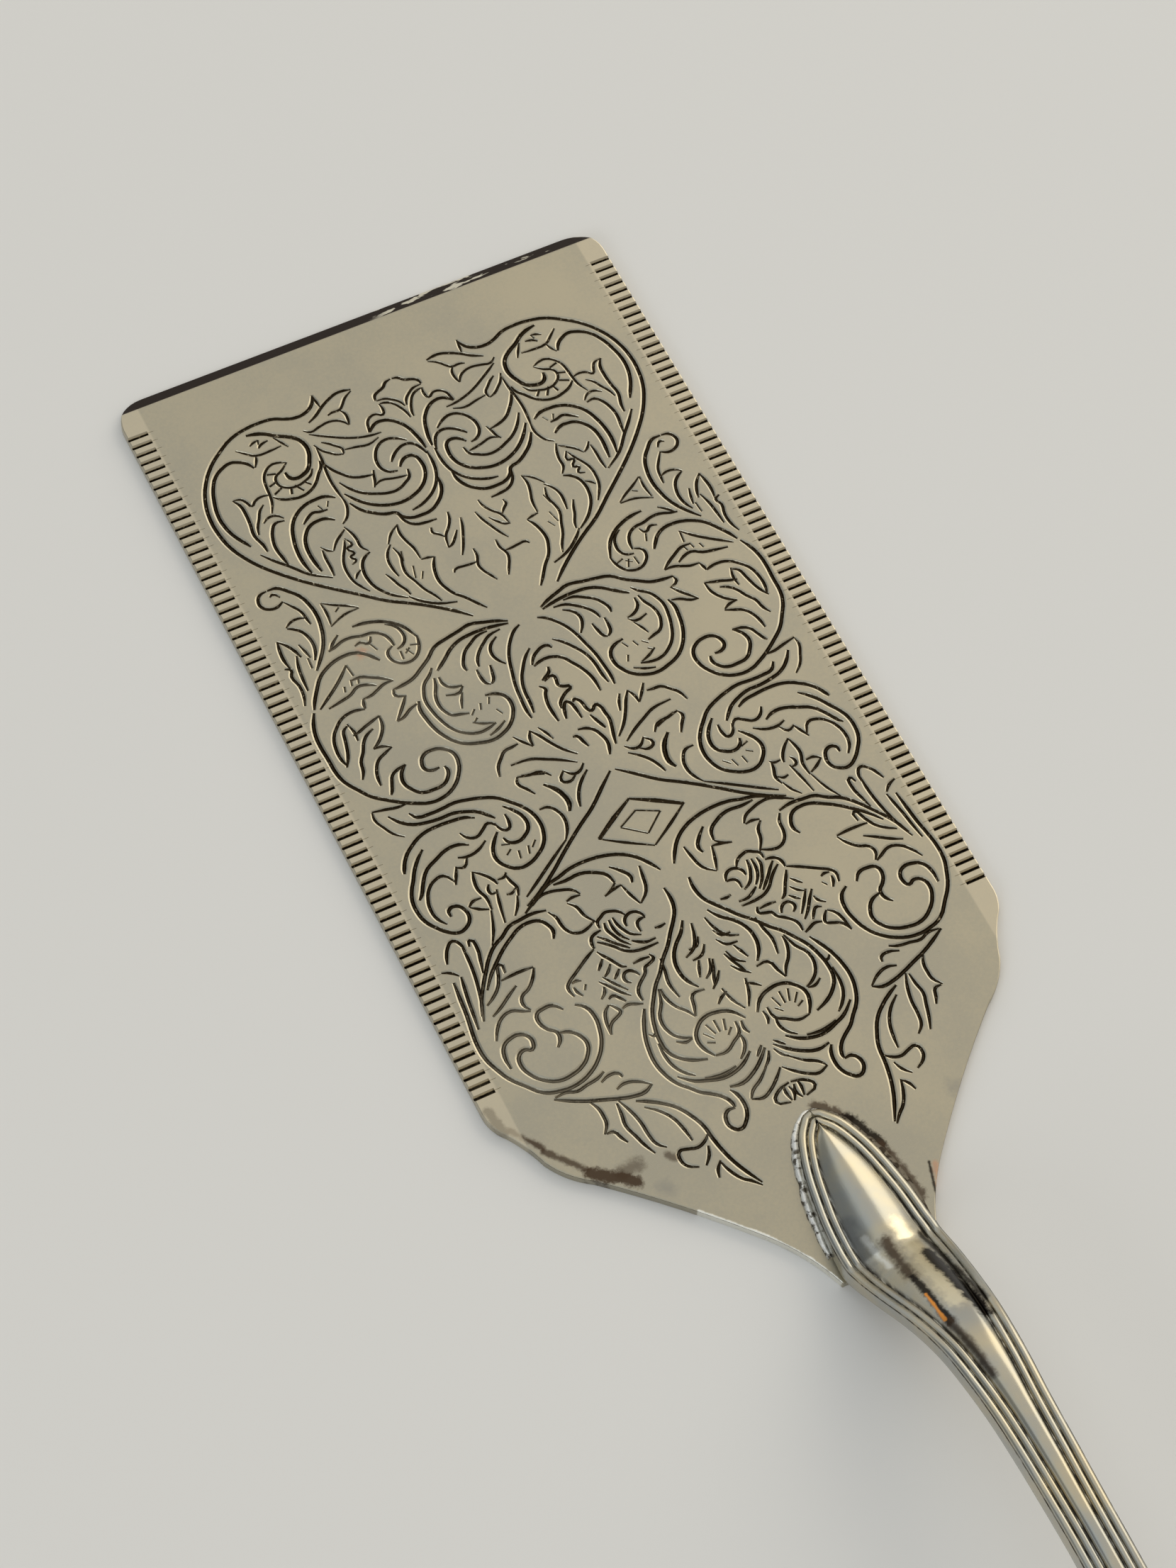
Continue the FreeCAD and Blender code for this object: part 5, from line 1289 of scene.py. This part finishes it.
def handle_plate():
    """Polished silver plate with black between the threads, some wear, and painted reflections and highlights
    of the room in grey, white, cream and black.
    """
    material, shader = new_material("handle_plate")
    place = shader.node("TexCoord", {}, {}, output=3)
    clouds = shader.noise(place, *HANDLE_CLOUDS)
    streaks = shader.stretched_noise(place, *HANDLE_STREAKS)
    hollow = shader.node("Attribute", {"attribute_name": "hollow"}, {}, output=2)
    colour = shader.mix(shader.between(*WEAR, clouds), POLISH_COOL, POLISH_WARM)
    # Painted reflections and highlights on the handle, with some wear
    colour = shader.blotted(place, colour, HANDLE_REFLECTIONS_AND_WEAR)
    black = hollow * shader.between(*HOLLOW_STREAKS, streaks)
    colour = shader.mix(black * HOLLOW_STRENGTH, colour, HOLLOW_TARNISH)
    relief = streaks * STREAK_BUMP + shader.noise(place, HANDLE_DENT_SIZE) * HANDLE_DENT_BUMP
    bump = shader.bump(relief, HANDLE_BUMP_STRENGTH, HANDLE_BUMP_HEIGHT)
    gloss = (clouds - 0.5) * HANDLE_CLOUD_GLOSS + black * HOLLOW_GLOSS + (streaks - 0.5) * STREAK_GLOSS
    shader.metal(colour, 1.0, HANDLE_ROUGHNESS + gloss, bump)
    return material


def dull_solder():
    """Grey solder, pale on the left side of the heel and dark on the right."""
    material, shader = new_material("dull_solder")
    place = shader.node("TexCoord", {}, {}, output=3)
    across = shader.node("SeparateXYZ", {}, {0: place}, output=0)
    uneven = (shader.noise(place, SOLDER_SIDE_NOISE) - 0.5) * (SOLDER_SIDE_RAGGED * MM)
    right = shader.between(SOLDER_DARK_SIDE[0] * MM, SOLDER_DARK_SIDE[1] * MM, across + uneven)
    speckles = shader.between(*SPECKLE_SHARE, shader.noise(place, *SOLDER_SPECKLES))
    pale = shader.mix(speckles, SOLDER_GREY, SOLDER_PALE)
    dark = shader.mix(speckles, SOLDER_DARK, SOLDER_GREY)
    bump = shader.bump(shader.noise(place, *SOLDER_PITS), SOLDER_BUMP_STRENGTH, SOLDER_BUMP_HEIGHT)
    roughness = SOLDER_ROUGHNESS + right * SOLDER_DARK_ROUGHNESS
    shader.metal(shader.mix(right, pale, dark), SOLDER_METALLIC, roughness, bump)
    return material


def pale_table():
    """Plain pale table."""
    material, shader = new_material("pale_table")
    surface = shader.node("BsdfPrincipled", {}, {
        "Base Color": TABLE_COLOUR, "Metallic": 0.0, "Roughness": TABLE_ROUGHNESS})
    shader.node("OutputMaterial", {}, {"Surface": surface})
    return material


def dress(piece, material, node):
    """Gives a piece its material and its place in the model."""
    piece.data.materials.clear()
    piece.data.materials.append(material)
    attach(piece, "root")
    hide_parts(node)


def soft_light(name, place, target, size, power, colour):
    """A square soft light that faces a point."""
    lamp = bpy.data.lights.new(name, "AREA")
    lamp.shape = "SQUARE"
    lamp.size = size
    lamp.energy = power
    lamp.color = colour
    light = bpy.data.objects.new(name, lamp)
    light.location = place
    light.rotation_euler = (Vector(target) - Vector(place)).to_track_quat("-Z", "Y").to_euler()
    bpy.context.scene.collection.objects.link(light)


def studio_light():
    """Even light from all round, a little darker behind the handle and at the front left."""
    world = bpy.data.worlds.new("studio")
    bpy.context.scene.world = world
    world.use_nodes = True
    shader = Shader(world.node_tree)
    direction = shader.node("TexCoord", {}, {}, output=0)
    across, _, up = shader.parts(direction)
    brightness = STUDIO_LOW + shader.between(*STUDIO_RISE, up) * (STUDIO_HIGH - STUDIO_LOW)
    for place, wide, narrow, share in STUDIO_SHADES:
        towards = shader.node("VectorMath", {"operation": "DOT_PRODUCT"}, {
            0: direction, 1: Vector(place).normalized()}, output=1)
        brightness = brightness * (1.0 - shader.between(wide, narrow, towards) * share)
    colour = shader.mix(shader.between(*STUDIO_WARM_SIDE, across), STUDIO_COOL, STUDIO_WARM)
    light = shader.node("Background", {}, {"Color": colour, "Strength": brightness})
    shader.node("OutputWorld", {}, {"Surface": light})


# Camera
view_camera = bpy.data.cameras.new("photograph")
view_camera.sensor_width = SENSOR
view_camera.lens = FOCAL_PIXELS * SENSOR / PICTURE_HEIGHT
camera = bpy.data.objects.new("photograph", view_camera)
camera.location = CAMERA_PLACE
camera.rotation_euler = Euler([math.radians(angle) for angle in CAMERA_TURN_DEG])
bpy.context.scene.collection.objects.link(camera)
bpy.context.scene.camera = camera
bpy.context.scene.view_settings.view_transform = "Standard"

# Blade
blade = flat_blade()
divide_sheet(blade)
profile = groove_profile()
pattern = line_cutter("pattern_cutter", ENGRAVED_LINES, profile, mirrored=True)
middle = line_cutter("middle_cutter", CENTRE_LINES, profile, mirrored=False)
flutes = flute_cutters()
select_only(pattern)
middle.select_set(True)
flutes.select_set(True)
bpy.ops.object.join()
cut_away(blade, pattern)
bpy.data.objects.remove(profile)
smooth_by_angle(blade, BLADE_CREASE)
apply_modifier(blade, "WEIGHTED_NORMAL", keep_sharp=True)
dress(blade, blade_plate(), "blade")

# Handle and solder
handle = cast_handle()
smooth_by_angle(handle, HANDLE_CREASE)
dress(handle, handle_plate(), "handle")
bead = solder_bead()
smooth_by_angle(bead, SOLDER_CREASE)
dress(bead, dull_solder(), "solder_seam")

# Table
bpy.ops.object.select_all(action="DESELECT")
bpy.ops.mesh.primitive_plane_add(size=TABLE_SIZE, location=(0.0, 0.0, 0.0))
table = name_piece("table")
apply_place(table)
table.data.materials.append(pale_table())

# Light
studio_light()
for light in SOFT_LIGHTS:
    soft_light(*light)
